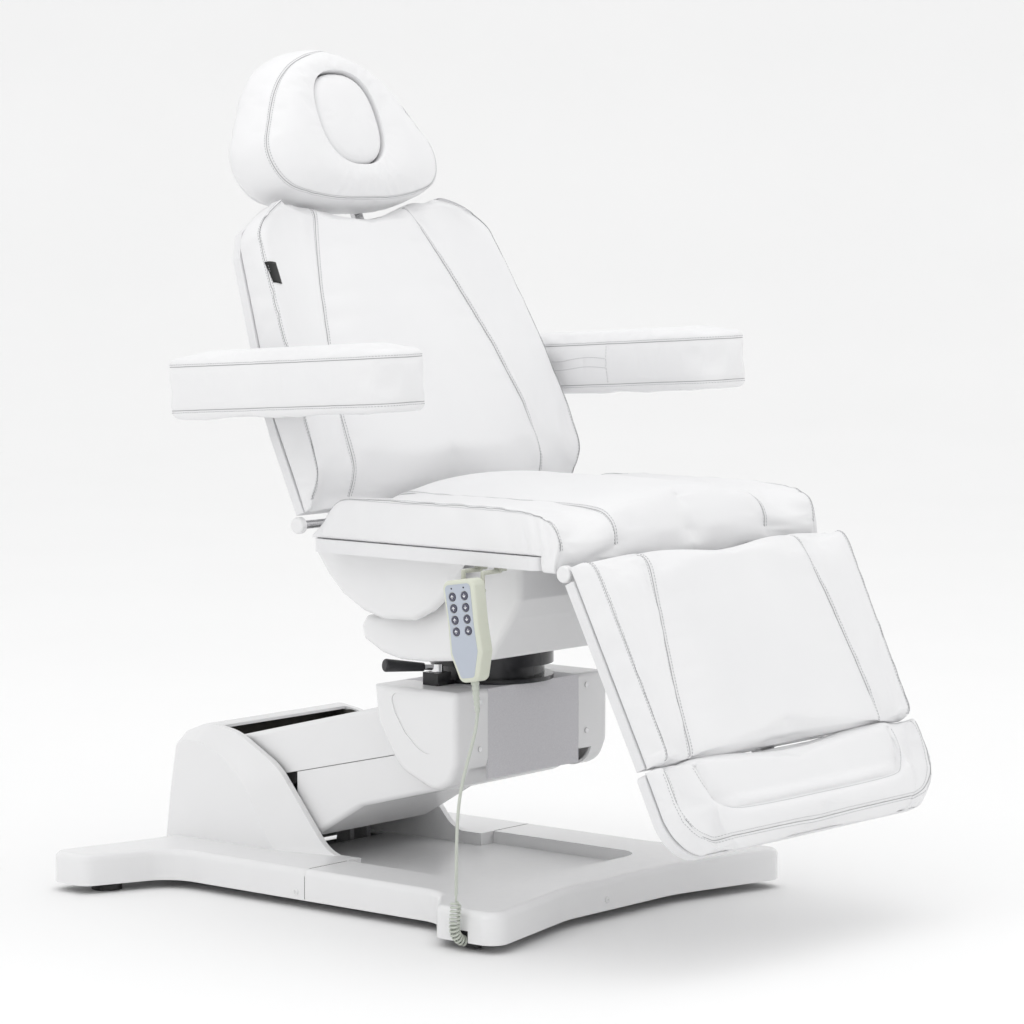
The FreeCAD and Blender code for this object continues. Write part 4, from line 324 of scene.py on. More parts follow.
cord_green = moulded("cord_grey_green", (0.50, 0.53, 0.47), (0.58, 0.61, 0.55), 0.42)
panel_grey = paint("lilac_grey_powder_coat", (0.60, 0.59, 0.62), (0.70, 0.695, 0.715), 0.42,
                   0.0001, 1500.0)
steel_paint = paint("grey_frame_paint", (0.36, 0.36, 0.37), (0.46, 0.46, 0.47), 0.45, 0.00008,
                    900.0)
holder_paint = paint("holder_cream_paint", (0.50, 0.51, 0.44), (0.60, 0.61, 0.53), 0.4, 0.00006,
                     900.0)
bright_steel = metal("bright_steel", (0.55, 0.55, 0.56), (0.68, 0.68, 0.69), 0.22)
chrome = metal("polished_chrome", (0.72, 0.72, 0.73), (0.82, 0.82, 0.83), 0.06, 0.000002)
# The thread is white; its grey colour is painted shade for the hollows in and between the
# stitches.
thread_with_painted_shade = rubber("stitching_thread", (0.42, 0.42, 0.44), (0.56, 0.56, 0.57), 0.6)
# Painted shade: the dark grey tubes laid in the seams stand in for the shade of each seam's
# crease.
seam_shadow = rubber("seam_welt", (0.30, 0.30, 0.31), (0.42, 0.42, 0.43), 0.5)
foot_rubber = rubber("foot_rubber", (0.02, 0.02, 0.02), (0.05, 0.05, 0.05), 0.6)
# Near black: the own colour of the sealing lips between the base covers, and painted shade on
# the strip inside the housing's slot.
dark_seal_and_shade_sheet = rubber("gaiter_dark_cloth", (0.025, 0.024, 0.02), (0.07, 0.067, 0.06), 0.7)
tag_cloth = rubber("tag_black_ribbon", (0.008, 0.008, 0.008), (0.02, 0.02, 0.02), 0.5)

slot_finishes = {"white cover": cover_white, "frame steel": steel_paint,
                 "foot rubber": foot_rubber, "black plastic": black_plastic,
                 "bright steel": bright_steel, "polished chrome": chrome,
                 "swivel black": swivel_black, "board": board_leather,
                 "white upholstery": white_leather, "holder paint": holder_paint,
                 "handset cream": cream_plastic, "cord grey-green": cord_green,
                 "button slate": button_slate}


def dress(piece, finish, body):
    """Give a new piece its finish and the body that it moves with."""
    piece.data.materials.clear()
    piece.data.materials.append(finish)
    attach(piece, body)


for cord in (straight_cord, curly_cord):
    cord.data.materials.append(cord_green)


# Mesh helpers
def add_piece(name, verts, faces):
    mesh = bpy.data.meshes.new(name)
    mesh.from_pydata([tuple(v) for v in np.asarray(verts) * MM], [], faces)
    mesh.validate()
    shape = bmesh.new()
    shape.from_mesh(mesh)
    bmesh.ops.recalc_face_normals(shape, faces=shape.faces)
    shape.to_mesh(mesh)
    shape.free()
    mesh.polygons.foreach_set("use_smooth", [True] * len(mesh.polygons))
    return place_new(name, mesh)


def read_points(mesh):
    co = np.empty(len(mesh.vertices) * 3)
    mesh.vertices.foreach_get("co", co)
    return co.reshape(-1, 3) / MM


def write_points(mesh, co):
    mesh.vertices.foreach_set("co", (co * MM).ravel())
    mesh.update()


def skin_of(piece):
    """Tree of a piece's faces, to find places on its surface."""
    return BVHTree.FromObject(piece, bpy.context.evaluated_depsgraph_get())


def ring_faces(count, size, joined_ends):
    """Faces between rings of points, with flat strips over the ends unless these join up."""
    faces = []
    for s in range(count if joined_ends else count - 1):
        a, b = s * size, (s + 1) % count * size
        for k in range(size):
            m = (k + 1) % size
            faces.append((a + k, a + m, b + m, b + k))
    if not joined_ends:
        for a in (0, (count - 1) * size):
            for k in range(size // 2 - 1):
                faces.append((a + k, a + k + 1, a + size - 2 - k, a + size - 1 - k))
    return faces


def ring_piece(name, tubes):
    """One piece of tubes, each given as its rings of points and whether its ends join up."""
    verts, faces = [], []
    for rings, joined_ends in tubes:
        rings = np.array(rings, float)
        count, size = rings.shape[:2]
        faces += [tuple(len(verts) + k for k in face)
                  for face in ring_faces(count, size, joined_ends)]
        verts.extend(rings.reshape(-1, 3))
    return add_piece(name, verts, faces)


def through(points, per):
    """Smooth line through given points."""
    p = np.array(points, float)
    p = np.vstack([2 * p[0] - p[1], p, 2 * p[-1] - p[-2]])
    t = (np.arange(per) / per)[:, None]
    line = []
    for i in range(len(p) - 3):
        a, b, c, d = p[i:i + 4]
        line.append(b + 0.5 * ((c - a) * t + (2 * a - 5 * b + 4 * c - d) * t ** 2
                               + (3 * b - a - 3 * c + d) * t ** 3))
    return np.vstack(line + [p[-2:-1]])


def bow(p, q, rise, count):
    """Points from p to just before q on a line that bulges to its left."""
    t = (1 - np.cos(math.pi * np.arange(count) / count)) / 2
    p, q = np.array(p, float), np.array(q, float)
    way = q - p
    left = unit(np.array([-way[1], way[0]]))
    swell = rise * np.clip(1 - (2 * t - 1) ** 2, 0, 1) ** 0.8
    return p + way * t[:, None] + left * swell[:, None]


def rounded(points, radii, per=8):
    """Closed outline with each corner rounded by its own radius."""
    line = []
    points = [np.array(p, float) for p in points]
    for i, corner in enumerate(points):
        before = unit(points[i - 1] - corner)
        after = unit(points[(i + 1) % len(points)] - corner)
        half = math.acos(np.clip(before @ after, -1, 1)) / 2
        centre = corner + unit(before + after) * radii[i] / math.sin(half)
        start = corner + before * radii[i] / math.tan(half) - centre
        end = corner + after * radii[i] / math.tan(half) - centre
        a0 = math.atan2(start[1], start[0])
        turn = (math.atan2(end[1], end[0]) - a0 + math.pi) % math.tau - math.pi
        for j in range(per + 1):
            angle = a0 + turn * j / per
            line.append(centre + radii[i] * np.array([math.cos(angle), math.sin(angle)]))
    return np.array(line)


def closed_line(line, closed=True):
    """A line with its first point added at its end where it is a closed one."""
    return np.vstack([line, line[:1]]) if closed else line


def even(outline, count):
    """Closed outline with points at equal steps."""
    closed = closed_line(outline)
    return along(closed, np.arange(count) / count * line_length(closed))


def ease(t):
    """Share from 0 to 1 that starts and ends gently."""
    t = np.clip(t, 0, 1)
    return t * t * (3 - 2 * t)


def inward(outline):
    """Unit ways into a closed outline that runs anticlockwise."""
    way = np.roll(outline, -1, axis=0) - np.roll(outline, 1, axis=0)
    return unit(np.stack([-way[:, 1], way[:, 0]], axis=1))


def tilted(y, z, degrees):
    """Place points given as across, along and off a board that leans in the YZ plane."""
    c, s = math.cos(math.radians(degrees)), math.sin(math.radians(degrees))

    def place(points):
        p = np.asarray(points, float)
        x, d, n = p[..., 0], p[..., 1], p[..., 2]
        return np.stack([x, y + d * c - n * s, z + d * s + n * c], axis=-1)
    return place


# Hinges' y and z and the boards' leans at rest; the legrest's distances run down from its hinge
on_back = tilted(136.0, 546.0, 67.0)
on_seat = tilted(0.0, 0.0, 0.0)
on_armrest = tilted(288.0, 733.0, -3.7)
along_leg = tilted(-338.0, 511.0, 64.0)


def on_leg(points):
    return along_leg(np.asarray(points, float) * [1, -1, 1])


handset_lean = math.radians(8.7)
handset_face_x, handset_y, handset_top_z = -346.0, -200.0, 499.0


def on_handset(points):
    """Points as across, out of the face and up from the hand control's top edge."""
    p = np.asarray(points, float)
    c, s = math.cos(handset_lean), math.sin(handset_lean)
    across = p[..., 0] * c - p[..., 2] * s
    up = p[..., 0] * s + p[..., 2] * c
    return np.stack([handset_face_x - p[..., 1], handset_y - across, handset_top_z + up],
                    axis=-1)


pads = []


class Pad:
    """A stuffed pad built of rings; some of its points are held down by seams."""

    def __init__(self, name, rings, place, joined_ends=False):
        self.count, self.size = rings.shape[:2]
        self.piece = ring_piece(name, [(place(rings), joined_ends)])
        self.held = set()
        self.seams = []
        pads.append(self)

    def at(self, s, k):
        return s % self.count * self.size + k % self.size

    def hold(self, places):
        self.held.update(self.at(s, k) for s, k in places)

    def seam(self, places, rows=(-3.2, 3.2), across="ring", closed=False):
        """Sew along grid places; rows give how far each stitched row lies from the seam."""
        self.hold(places)
        self.seams.append((places, rows, across, closed))

    def offset_line(self, places, distance, across):
        """Line beside a seam, at a distance measured over the pad's skin."""
        co = read_points(self.piece.data)
        sign = 1 if distance > 0 else -1
        line = []
        for s, k in places:
            here = co[self.at(s, k)]
            left = abs(distance)
            step = 0
            while left > 0:
                step += sign
                there = co[self.at(s, k + step) if across == "ring" else self.at(s + step, k)]
                length = np.linalg.norm(there - here)
                if length >= left:
                    here = here + (there - here) * left / length
                    break
                left -= length
                here = there
            line.append(here)
        return np.array(line)


settle_frames = 20
settle_cap = 7.0
skin_settings = {"quality": 5, "mass": 0.3, "tension_stiffness": 15, "compression_stiffness": 15,
                 "shear_stiffness": 8, "bending_stiffness": 1.5, "use_pressure": True,
                 "uniform_pressure_force": 4.0, "vertex_group_mass": "held",
                 "shrink_min": -0.012}


def settle():
    """Blow all the pads up a little between their seams, as stuffed fabric sits."""
    scene = bpy.context.scene
    before = {}
    for pad in pads:
        piece = pad.piece
        group = piece.vertex_groups.new(name="held")
        group.add(sorted(pad.held), 1.0, "REPLACE")
        before[piece.name] = read_points(piece.data)
        cloth = piece.modifiers.new("cloth", "CLOTH")
        for key, value in skin_settings.items():
            setattr(cloth.settings, key, value)
        cloth.settings.effector_weights.gravity = 0
        cloth.collision_settings.use_self_collision = False
        cloth.collision_settings.use_collision = False
        cloth.point_cache.frame_start = 1
        cloth.point_cache.frame_end = settle_frames
    for at in range(1, settle_frames + 1):
        scene.frame_set(at)
    graph = bpy.context.evaluated_depsgraph_get()
    for pad in pads:
        piece = pad.piece
        old = before[piece.name]
        move = read_points(piece.evaluated_get(graph).data) - old
        size = np.linalg.norm(move, axis=1)[:, None]
        move *= np.minimum(1, settle_cap / np.maximum(size, 1e-9))
        move[~np.isfinite(move)] = 0
        piece.modifiers.remove(piece.modifiers["cloth"])
        piece.vertex_groups.remove(piece.vertex_groups["held"])
        write_points(piece.data, old + move)
    scene.frame_set(1)


def finish_pad(pad, name, node, body, creases=()):
    """Round the pad off, press its creases in, sew it and hand it to its body."""
    piece = pad.piece
    smooth = piece.modifiers.new("rounding", "SUBSURF")
    smooth.levels = smooth.render_levels = 1
    graph = bpy.context.evaluated_depsgraph_get()
    shaped = bpy.data.meshes.new_from_object(piece.evaluated_get(graph))
    rows = [(pad.offset_line(places, distance, across), closed)
            for places, rows, across, closed in pad.seams for distance in rows]
    co = read_points(piece.data)
    lines = [(np.array([co[pad.at(s, k)] for s, k in places]), closed)
             for places, _, _, closed in pad.seams]
    old = piece.data
    piece.modifiers.clear()
    piece.data = shaped
    bpy.data.meshes.remove(old)
    shaped.name = name
    for line, closed in lines:
        press(piece, closed_line(line, closed), seam_deep, seam_wide)
    for crease in creases:
        press(piece, *crease)
    shaped.polygons.foreach_set("use_smooth", [True] * len(shaped.polygons))
    dress(piece, white_leather, body)
    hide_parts(node)
    if rows:
        stitches(name + "_stitches", piece, rows, body)
        # The dark tubes along the seams are painted shade.
        seam_shade_lines(name + "_seams", piece, lines, body)
    return piece


def press(piece, line, depth, width):
    """Press a soft groove into a pad along a line of points."""
    co = read_points(piece.data)
    normals = np.empty(co.size)
    piece.data.vertex_normals.foreach_get("vector", normals)
    normals = normals.reshape(-1, 3)
    line = np.asarray(line, float)
    low, high = line.min(axis=0) - width * 4, line.max(axis=0) + width * 4
    near = np.where(((co > low) & (co < high)).all(axis=1))[0]
    fine = along(line, np.arange(0, line_length(line), width / 3))
    apart = np.full(len(near), np.inf)
    for point in fine:
        apart = np.minimum(apart, np.linalg.norm(co[near] - point, axis=1))
    co[near] -= normals[near] * (depth * np.exp(-(apart / width) ** 2))[:, None]
    write_points(piece.data, co)


# Seams, their stitches and the painted shade lines laid in them
seam_deep = 1.5
seam_wide = 2.2
seam_shade_r = 0.5
seam_shade_step = 3.0
stitch_pitch = 4.4
stitch_long = 3.1
stitch_r = 0.5
stitch_lift = 0.1
stitch_reach = 6.0
stitch_profile = [(-0.5, 0.25), (-0.32, 0.9), (0.0, 1.0), (0.32, 0.9), (0.5, 0.25)]
thread_turn = [math.tau * j / 6 for j in range(6)]


def stitches(name, ground, rows, body):
    """Rows of short thread loops that lie on a pad's skin; their grey colour is painted shade.
    """
    skin = skin_of(ground)
    loops = []
    for row, closed in rows:
        row = closed_line(row, closed)
        total = line_length(row)
        count = int(total / stitch_pitch)
        steps = (np.arange(count) + 0.5) * total / count
        for centre, ahead in zip(along(row, steps), along(row, np.minimum(steps + 1, total))):
            at, normal, _, far = skin.find_nearest(Vector(centre * MM))
            if at is None or far > stitch_reach * MM:
                continue
            way = Vector(ahead - centre)
            way = (way - normal * way.dot(normal)).normalized()
            side = normal.cross(way)
            at = at / MM
            loops.append(([[at + way * stitch_long * share
                            + side * (math.cos(angle) * stitch_r * size)
                            + normal * (math.sin(angle) * stitch_r * size + stitch_lift)
                            for angle in thread_turn] for share, size in stitch_profile], False))
    dress(ring_piece(name, loops), thread_with_painted_shade, body)


def seam_shade_lines(name, ground, lines, body):
    """Thin dark tubes where two panels meet, laid into the bottom of each seam's groove: painted
    shade for the seam's crease.
    """
    skin = skin_of(ground)
    shade_lines = []
    for line, closed in lines:
        line = closed_line(line, closed)
        count = int(line_length(line) / seam_shade_step)
        spots = along(line, np.arange(count) * line_length(line)
                      / (count if closed else count - 1))
        found = [skin.find_nearest(Vector(spot * MM)) for spot in spots]
        rings = []
        for i, (at, normal, _, _) in enumerate(found):
            before = found[i - 1 if i or closed else 0][0]
            after = found[(i + 1) % count if closed else min(i + 1, count - 1)][0]
            side = normal.cross((after - before).normalized())
            rings.append([at / MM + (side * math.cos(angle) + normal * math.sin(angle)) * seam_shade_r
                          for angle in thread_turn])
        shade_lines.append((rings, closed))
    dress(ring_piece(name, shade_lines), seam_shadow, body)


# Pads sewn of a centre panel and a bolster down each side
edge_steps, crown_steps, panel_steps = 7, 11, 8
panel_at = edge_steps + crown_steps
top_count = 2 * (panel_at + panel_steps) + 1
panel_seams = (panel_at, top_count - 1 - panel_at)
edge_seams = (edge_steps, top_count - 1 - edge_steps)
skirt_inset, bottom_inset, skirt_sag = 2, 5, -2.5


def pad_ring(d, base, half, foot, outer, crown, inner, centre):
    """One closed section: outer and inner seam points are (across, off the board)."""
    right = np.vstack([bow((half - skirt_inset, base + foot), outer, skirt_sag, edge_steps),
                       bow(outer, inner, crown, crown_steps),
                       bow(inner, (0, centre), 0, panel_steps)])
    panel = abs(right[panel_at:, 0]) / max(inner[0], 1)
    right[panel_at:, 1] = inner[1] + (centre - inner[1]) * (1 - panel ** 2) ** 0.8
    top = np.vstack([right, [[0.0, centre]], right[::-1] * [-1, 1]])
    bottom = np.stack([(half - bottom_inset) * np.linspace(-1, 1, len(top)),
                       np.full(len(top), base)], axis=1)
    ring = np.vstack([top, bottom])
    return np.column_stack([ring[:, 0], np.full(len(ring), d), ring[:, 1]])


def hold_under(pad):
    """Keep a pad's underside on its board."""
    pad.hold([(s, k) for s in range(pad.count)
              for k in list(range(top_count - 1, pad.size)) + [0]])


def bolstered(name, stations, shape, place, seam_range, bend=None):
    """Pad lofted through stations of (distance, height share)."""
    rings = np.stack([pad_ring(d, *shape(d, h)) for d, h in stations])
    if bend is not None:
        rings = bend(rings)
    pad = Pad(name, rings, place)
    first, last = seam_range
    for k in panel_seams + edge_seams:
        pad.seam([(s, k) for s in range(first, last)])
    hold_under(pad)
    return pad


# Seat
seat_base, seat_half, seat_corner = 531.5, 298, 6
seat_edge, seat_crown, seat_panel, seat_rise = (286, 58), 11, (167, 57), 69
lip_at, lip_run, lip_drop = -300.5, 4, 21
seat_stations = [(-322.5, -0.2), (-324, 0.05), (-324.5, 0.24), (-324, 0.42), (-319, 0.65),
                 (-308, 0.83), (-301.5, 0.885), (-298, 0.91), (-284, 0.955), (-250, 1.0),
                 (-190, 1.01), (-120, 1.01), (-40, 1.0), (10, 1.0), (48, 0.99), (66, 0.90),
                 (82, 0.66), (96, 0.36), (108, 0.12), (111, 0.04)]


def seat_shape(y, h):
    """Section of the seat; in front of the board its skin comes down past the board's edge."""
    corner = seat_corner * (1 - h) ** 2
    base = seat_base - lip_drop * ease((lip_at - y) / lip_run)
    return (base, seat_half - corner, 2 * h,
            (seat_edge[0] - corner, seat_base + seat_edge[1] * h), seat_crown * h,
            (seat_panel[0], seat_base + seat_panel[1] * h), seat_base + seat_rise * h)


seat_line = through(seat_stations, 4)
seat_pad = bolstered("seat_pad", seat_line, seat_shape, on_seat, (6, len(seat_line) - 8))


# Pads that lie on a board: heights are measured from the board's middle plane
board_top = 14.3


def off_board(n, h):
    """Height above the board drawn in by a height share."""
    return board_top + (n - board_top) * h


def read_off(table, d):
    """Reach across and height that a table of (distance, across, height) gives."""
    places, *columns = np.transpose(table)
    return tuple(np.interp(d, places, column) for column in columns)


# Backrest
back_start, back_long = 14, 453
back_shares = [(0.0, 0.05), (0.004, 0.24), (0.033, 0.46), (0.066, 0.76), (0.11, 0.97),
               (0.2, 1.0), (0.3, 1.0), (0.4, 1.0), (0.5, 1.0), (0.6, 1.0), (0.7, 1.0),
               (0.8, 1.0), (0.88, 1.0), (0.93, 0.99), (0.965, 0.95), (0.988, 0.86),
               (1.0, 0.68), (1.003, 0.42), (1.0, 0.12)]
back_inner = [(0, 211, 54), (30, 206, 56), (137, 198, 54), (234, 176, 50), (333, 146, 43),
              (467, 99, 37)]
back_outer = [(0, 285, 62), (34, 284, 64), (70, 286, 65), (133, 284, 66), (227, 276, 64),
              (317, 266, 59), (396, 252, 55), (467, 240, 52)]


# Half widths at the low edge, at the widest place, where the top starts to round and at the top
wide_at, round_at, top_at = 150, 395, 467
low_half, wide_half, round_half, top_half = 288, 294, 258, 172
dip_deep, dip_half = 24, 136


def back_half(d):
    if d <= round_at:
        return np.interp(d, (0, wide_at, round_at), (low_half, wide_half, round_half))
    past = min((d - round_at) / (top_at - round_at), 1)
    return round_half - (round_half - top_half) * past ** 2


def back_shape(d, h):
    half = back_half(d)
    inner_x, inner_n = read_off(back_inner, d)
    outer_x, outer_n = read_off(back_outer, d)
    outer = (min(outer_x, half - 5), off_board(outer_n, h))
    inner_n = off_board(inner_n, h)
    return board_top, half, 2 * h, outer, 12 * h, (inner_x, inner_n), inner_n + 6 * h


def top_dip(rings):
    """Draw the pad's top down round the headrest."""
    x, d = rings[..., 0], rings[..., 1]
    dip = dip_deep * np.clip(1 - (x / dip_half) ** 2, 0, 1) ** 1.2
    share = np.clip((d - back_start) / back_long, 0, 1.01)
    rings[..., 1] = d - dip * share ** 3
    return rings


back_line = through([(back_start + back_long * share, h) for share, h in back_shares], 4)
back_pad = bolstered("back_pad", back_line, back_shape, on_back, (7, len(back_line) - 7),
                     top_dip)


# Legrest
leg_start, leg_long, leg_half_w, leg_taper, leg_edge_in, leg_edge_n = 6, 270, 298, 6, 17, 47
leg_shares = [(-0.02, 0.06), (-0.036, 0.33), (-0.034, 0.60), (-0.014, 0.84), (0.03, 0.97),
              (0.10, 1.0), (0.2, 1.0), (0.35, 1.0), (0.5, 1.0), (0.65, 1.0), (0.8, 1.0),
              (0.92, 1.0), (0.958, 0.985), (0.982, 0.93), (0.998, 0.80), (1.005, 0.5),
              (1.003, 0.1)]
leg_inner = [(0, 171, 47), (18, 173, 46), (95, 188, 43), (185, 204, 38), (276, 215, 34)]


def leg_shape(d, h):
    half = leg_half_w - leg_taper * (d - leg_start) / leg_long
    inner_x, inner_n = read_off(leg_inner, d)
    inner_n = off_board(inner_n, h)
    return (board_top, half, 2 * h, (half - leg_edge_in, off_board(leg_edge_n, h)), 9 * h,
            (inner_x, inner_n), inner_n + 5 * h)


leg_line = through([(leg_start + leg_long * share, h) for share, h in leg_shares], 4)
leg_pad = bolstered("leg_pad", leg_line, leg_shape, on_leg, (7, len(leg_line) - 7))


# Pads drawn as one outline that pulls in from layer to layer
def level(outline, n):
    """Ring of an outline at one height."""
    return np.column_stack([outline, np.full(len(outline), n)])


def layer_rings(outline, layers):
    """Rings for layers given as (height off the board, inset)."""
    ways = inward(outline)
    return [level(outline + ways * inset, n) for n, inset in layers]


def closing(last, middle_line, steps, rise):
    """Rings that draw a pad's top together on to a middle line, crowned by a rise."""
    rings = []
    for t in steps:
        ring = last.copy()
        ring[:, :2] = last[:, :2] + (middle_line - last[:, :2]) * t
        ring[:, 2] = last[:, 2] + rise * (1 - (1 - t) ** 2)
        rings.append(ring)
    return rings


# Headrest with its face hole
head_low, head_tall, head_half = 467.0, 241.0, 215.0
head_count = 144
hole_d, hole_half_w, hole_half_l = 585.0, 63.5, 72.0
head_turn = -math.pi / 2 + math.tau * np.arange(head_count) / head_count


def head_outline(inset):
    """Outline that draws in most at its sides, read at equal angles about the hole."""
    low = head_low - inset * 0.12
    height = head_low + head_tall - inset * 0.45 - low
    half = [((head_half - inset) * a, low + height * b)
            for a, b in ((0.45, 0.0), (0.88, 0.10), (1.0, 0.32), (0.47, 1.0))]
    radii = [head_tall * share for share in (1.62, 0.22, 0.22, 0.74)]
    line = rounded(half + [(-x, d) for x, d in half[::-1]], radii + radii[::-1], 14)
    closed = closed_line(line)
    fine = np.vstack([closed[i] + (closed[i + 1] - closed[i]) * t
                      for i in range(len(closed) - 1) for t in np.arange(0, 1, 0.05)])
    angles = np.arctan2(fine[:, 1] - hole_d, fine[:, 0])
    return np.stack([np.interp(head_turn, angles, fine[:, i], period=math.tau)
                     for i in (0, 1)], axis=1)


def hole_outline(turn, grow):
    """Oval that is fuller at its shoulders than an ellipse."""
    c, s = np.cos(turn), np.sin(turn)
    full = (abs(c) ** 2.5 + abs(s) ** 2.5) ** (-1 / 2.5)
    return np.stack([(hole_half_w + grow) * c * full,
                     hole_d + (hole_half_l + grow) * s * full], axis=1)


head_layers = [(-11.0, 22), (-9.0, 14), (-4.0, 6), (3.0, 1.5), (10.0, 0), (20, 3.5), (30, 9.5),
               (39, 17), (46, 23.5), (50.5, 28), (52.0, 30.5)]
head_rings = [level(head_outline(inset), n) for n, inset in head_layers]
head_seam = len(head_layers) - 1
head_edge = head_outline(head_layers[-1][1])
hole_ring = hole_outline(head_turn, 1.2)
for t in (0.05, 0.12, 0.22, 0.34, 0.48, 0.62, 0.76, 0.87, 0.94, 0.98):
    rise = 16.5 * math.sin(math.pi * min(t, 0.9) / 1.4) ** 0.8
    head_rings.append(level(head_edge + (hole_ring - head_edge) * t, 52.5 + rise))
for n, grow in ((66.0, 1.6), (62.0, 1.2), (50.0, 1.2), (20.0, 1.2), (-9.0, 1.2), (-11.2, 2.7)):
    head_rings.append(level(hole_outline(head_turn, grow), n))
for t in (0.25, 0.5, 0.75):
    head_rings.append(level(hole_ring + (head_outline(24) - hole_ring) * t, -11.4))
head_pad = Pad("head_pad", np.stack(head_rings), on_back, True)
head_pad.seam([(head_seam, k) for k in range(head_count)], (-3.0, 3.0), "rings", True)
head_pad.hold([(s, k) for s in list(range(head_seam + 10, head_pad.count)) + [0]
               for k in range(head_count)])

# Plug in the face hole
plug_count = 96
plug_turn = math.tau * (np.arange(plug_count) + 0.5) / plug_count
plug_ring = hole_outline(plug_turn, -0.4)
plug_layers = [(-15.5, 3), (-13, 0.5), (10, 0), (48, 0), (58, 0.6), (62.5, 2.5), (65.2, 6.5),
               (66.4, 10)]
plug_rings = layer_rings(plug_ring, plug_layers)
plug_mid = np.stack([np.zeros(plug_count), hole_d + (plug_rings[-1][:, 1] - hole_d) * 0.14],
                    axis=1)
plug_rings += closing(plug_rings[-1], plug_mid, (0.12, 0.3, 0.5, 0.7, 0.85, 0.96), 3.2)
plug = Pad("face_plug", np.stack(plug_rings), on_back)
plug.hold([(s, k) for s in range(7) for k in range(plug_count)])


# Armrests
armrest_layers = [(-39.5, 17), (-42.3, 11), (-39.5, 5), (-34, 1.6), (-30, 0.8), (-20, 0.2),
                  (-8, 0), (8, 0), (20, 0.2), (30, 0.8), (34, 1.6), (39, 4.6), (42, 10.5)]
armrest_long = 417
armrest_near, armrest_far = 302, 410
armrest_corner_r, armrest_points = 40, 168
spine_across_share, spine_along_share = 0.06, 0.86
hands = {-1: "right", 1: "left"}
under_steps = (0.9, 0.6, 0.3)
band_seams = [(len(under_steps) + 4, -3.0), (len(under_steps) + 9, 3.0)]


def armrest(side):
    """Long pad with a side band between two seams."""
    x0, x1 = sorted((side * armrest_near, side * armrest_far))
    outline = even(rounded([(x0, -armrest_long), (x1, -armrest_long), (x1, 0), (x0, 0)],
                           [armrest_corner_r] * 4, 10), armrest_points)
    rings = layer_rings(outline, armrest_layers)
    across, along_mid = (x0 + x1) / 2, -armrest_long / 2
    middle = np.array([across, along_mid])
    spine = middle + (rings[-1][:, :2] - middle) * [spine_across_share, spine_along_share]
    rings = (closing(rings[0], spine, under_steps, -3) + rings
             + closing(rings[-1], spine, (0.14, 0.34, 0.56, 0.78, 0.95), 1.8))
    pad = Pad("armrest_pad_%s_cover" % hands[side], np.stack(rings), on_armrest)
    for s, row in band_seams:
        pad.seam([(s, k) for k in range(pad.size)], (row,), "rings", True)
    pad.hold([(s, k) for s in (0, 1) for k in range(pad.size)])
    return pad


armrests = {side: armrest(side) for side in hands}


# Footrest: a rim round three sides of a sunk panel
foot_half_w, foot_corner_r, foot_corner_start = 298, 62, 341
foot_edge_in, foot_edge_n, foot_edge_slant = 12, 41, 20
foot_panel, foot_panel_in, foot_panel_end = 220, 70, 352


def foot_half(d):
    """Half width of the footrest, rounded at its lower corners."""
    past = max(d - foot_corner_start, 0)
    return foot_half_w - foot_corner_r + math.sqrt(max(foot_corner_r ** 2 - past ** 2, 1))


foot_stations = [(283.4, 0.05), (282.2, 0.3), (282.0, 0.6), (283.4, 0.84), (288, 0.95),
                 (297, 0.99), (305, 1.0), (317, 1.0), (329, 1.0), (341, 1.0), (353, 1.0),
                 (364, 0.99), (374, 0.96), (383, 0.90), (391, 0.79), (397.5, 0.62),
                 (401.5, 0.40), (402.3, 0.2), (400.5, 0.05)]


def foot_shape(d, h):
    half = foot_half(d)
    past = max(d - foot_corner_start, 0) / foot_corner_r
    edge = half - foot_edge_in - foot_edge_slant * past
    sunk = ease((foot_panel_end - d) / 14)
    return (board_top, half, 2 * h, (edge, off_board(foot_edge_n, h)), 11 * h,
            (min(foot_panel, half - foot_panel_in), off_board(46 - 7 * sunk, h)),
            off_board(50 - 13 * sunk, h))


foot_line = through(foot_stations, 3)
foot_rings = np.stack([pad_ring(d, *foot_shape(d, h)) for d, h in foot_line])
foot_pad = Pad("foot_pad", foot_rings, on_leg)
hold_under(foot_pad)
foot_pad.hold([(s, k) for k in edge_seams for s in range(5, foot_pad.count - 8)])

settle()

# Creases where the seat's skin is drawn round its front corners
corner_creases = [[(297, -262, 585), (299, -272, 562), (298, -279, 538)],
                  [(290, -283, 586), (298, -294, 562), (298, -303, 536)],
                  [(284, -300, 580), (296, -312, 556), (297, -318, 530)]]
finish_pad(seat_pad, "seat_pad", "seat_cushion", "seat",
           [(through([(side * x, y, z) for x, y, z in line], 8), 3.2, 5.0)
            for side in (-1, 1) for line in corner_creases])
finish_pad(back_pad, "back_pad", "back_cushion", "backrest")
finish_pad(leg_pad, "leg_pad", "leg_cushion", "legrest")
finish_pad(head_pad, "head_pad", "head_cushion", "headrest")
finish_pad(plug, "face_plug", "face_insert", "face_insert")

# Paths on the footrest's board: the sunk panel's groove and the seam that runs round the rim
groove_half = [(222, 287), (220, 300), (216, 318), (208, 336), (190, 349), (160, 354), (80, 356),
               (0, 356)]
rim_half = [(286, 288), (286, 312), (285.6, 336), (280.4, 354), (272.6, 366), (263, 375.5),
            (250, 383), (232, 387.6), (205, 389.8), (140, 390.5), (60, 390.5), (0, 390.5)]
groove_path, rim_path = (through([(-x, d, 0) for x, d in half]
                                 + [(x, d, 0) for x, d in half[-2::-1]], 6)
                         for half in (groove_half, rim_half))


def on_skin(piece, place, path):
    """Points of a path dropped square to the board on to a pad's skin."""
    skin = skin_of(piece)
    over, under = (place(path + [0, 0, n]) for n in (110, 0))
    found = [skin.ray_cast(Vector(a * MM), Vector(b - a))[0] for a, b in zip(over, under)]
    return np.array([tuple(at / MM) for at in found if at is not None])


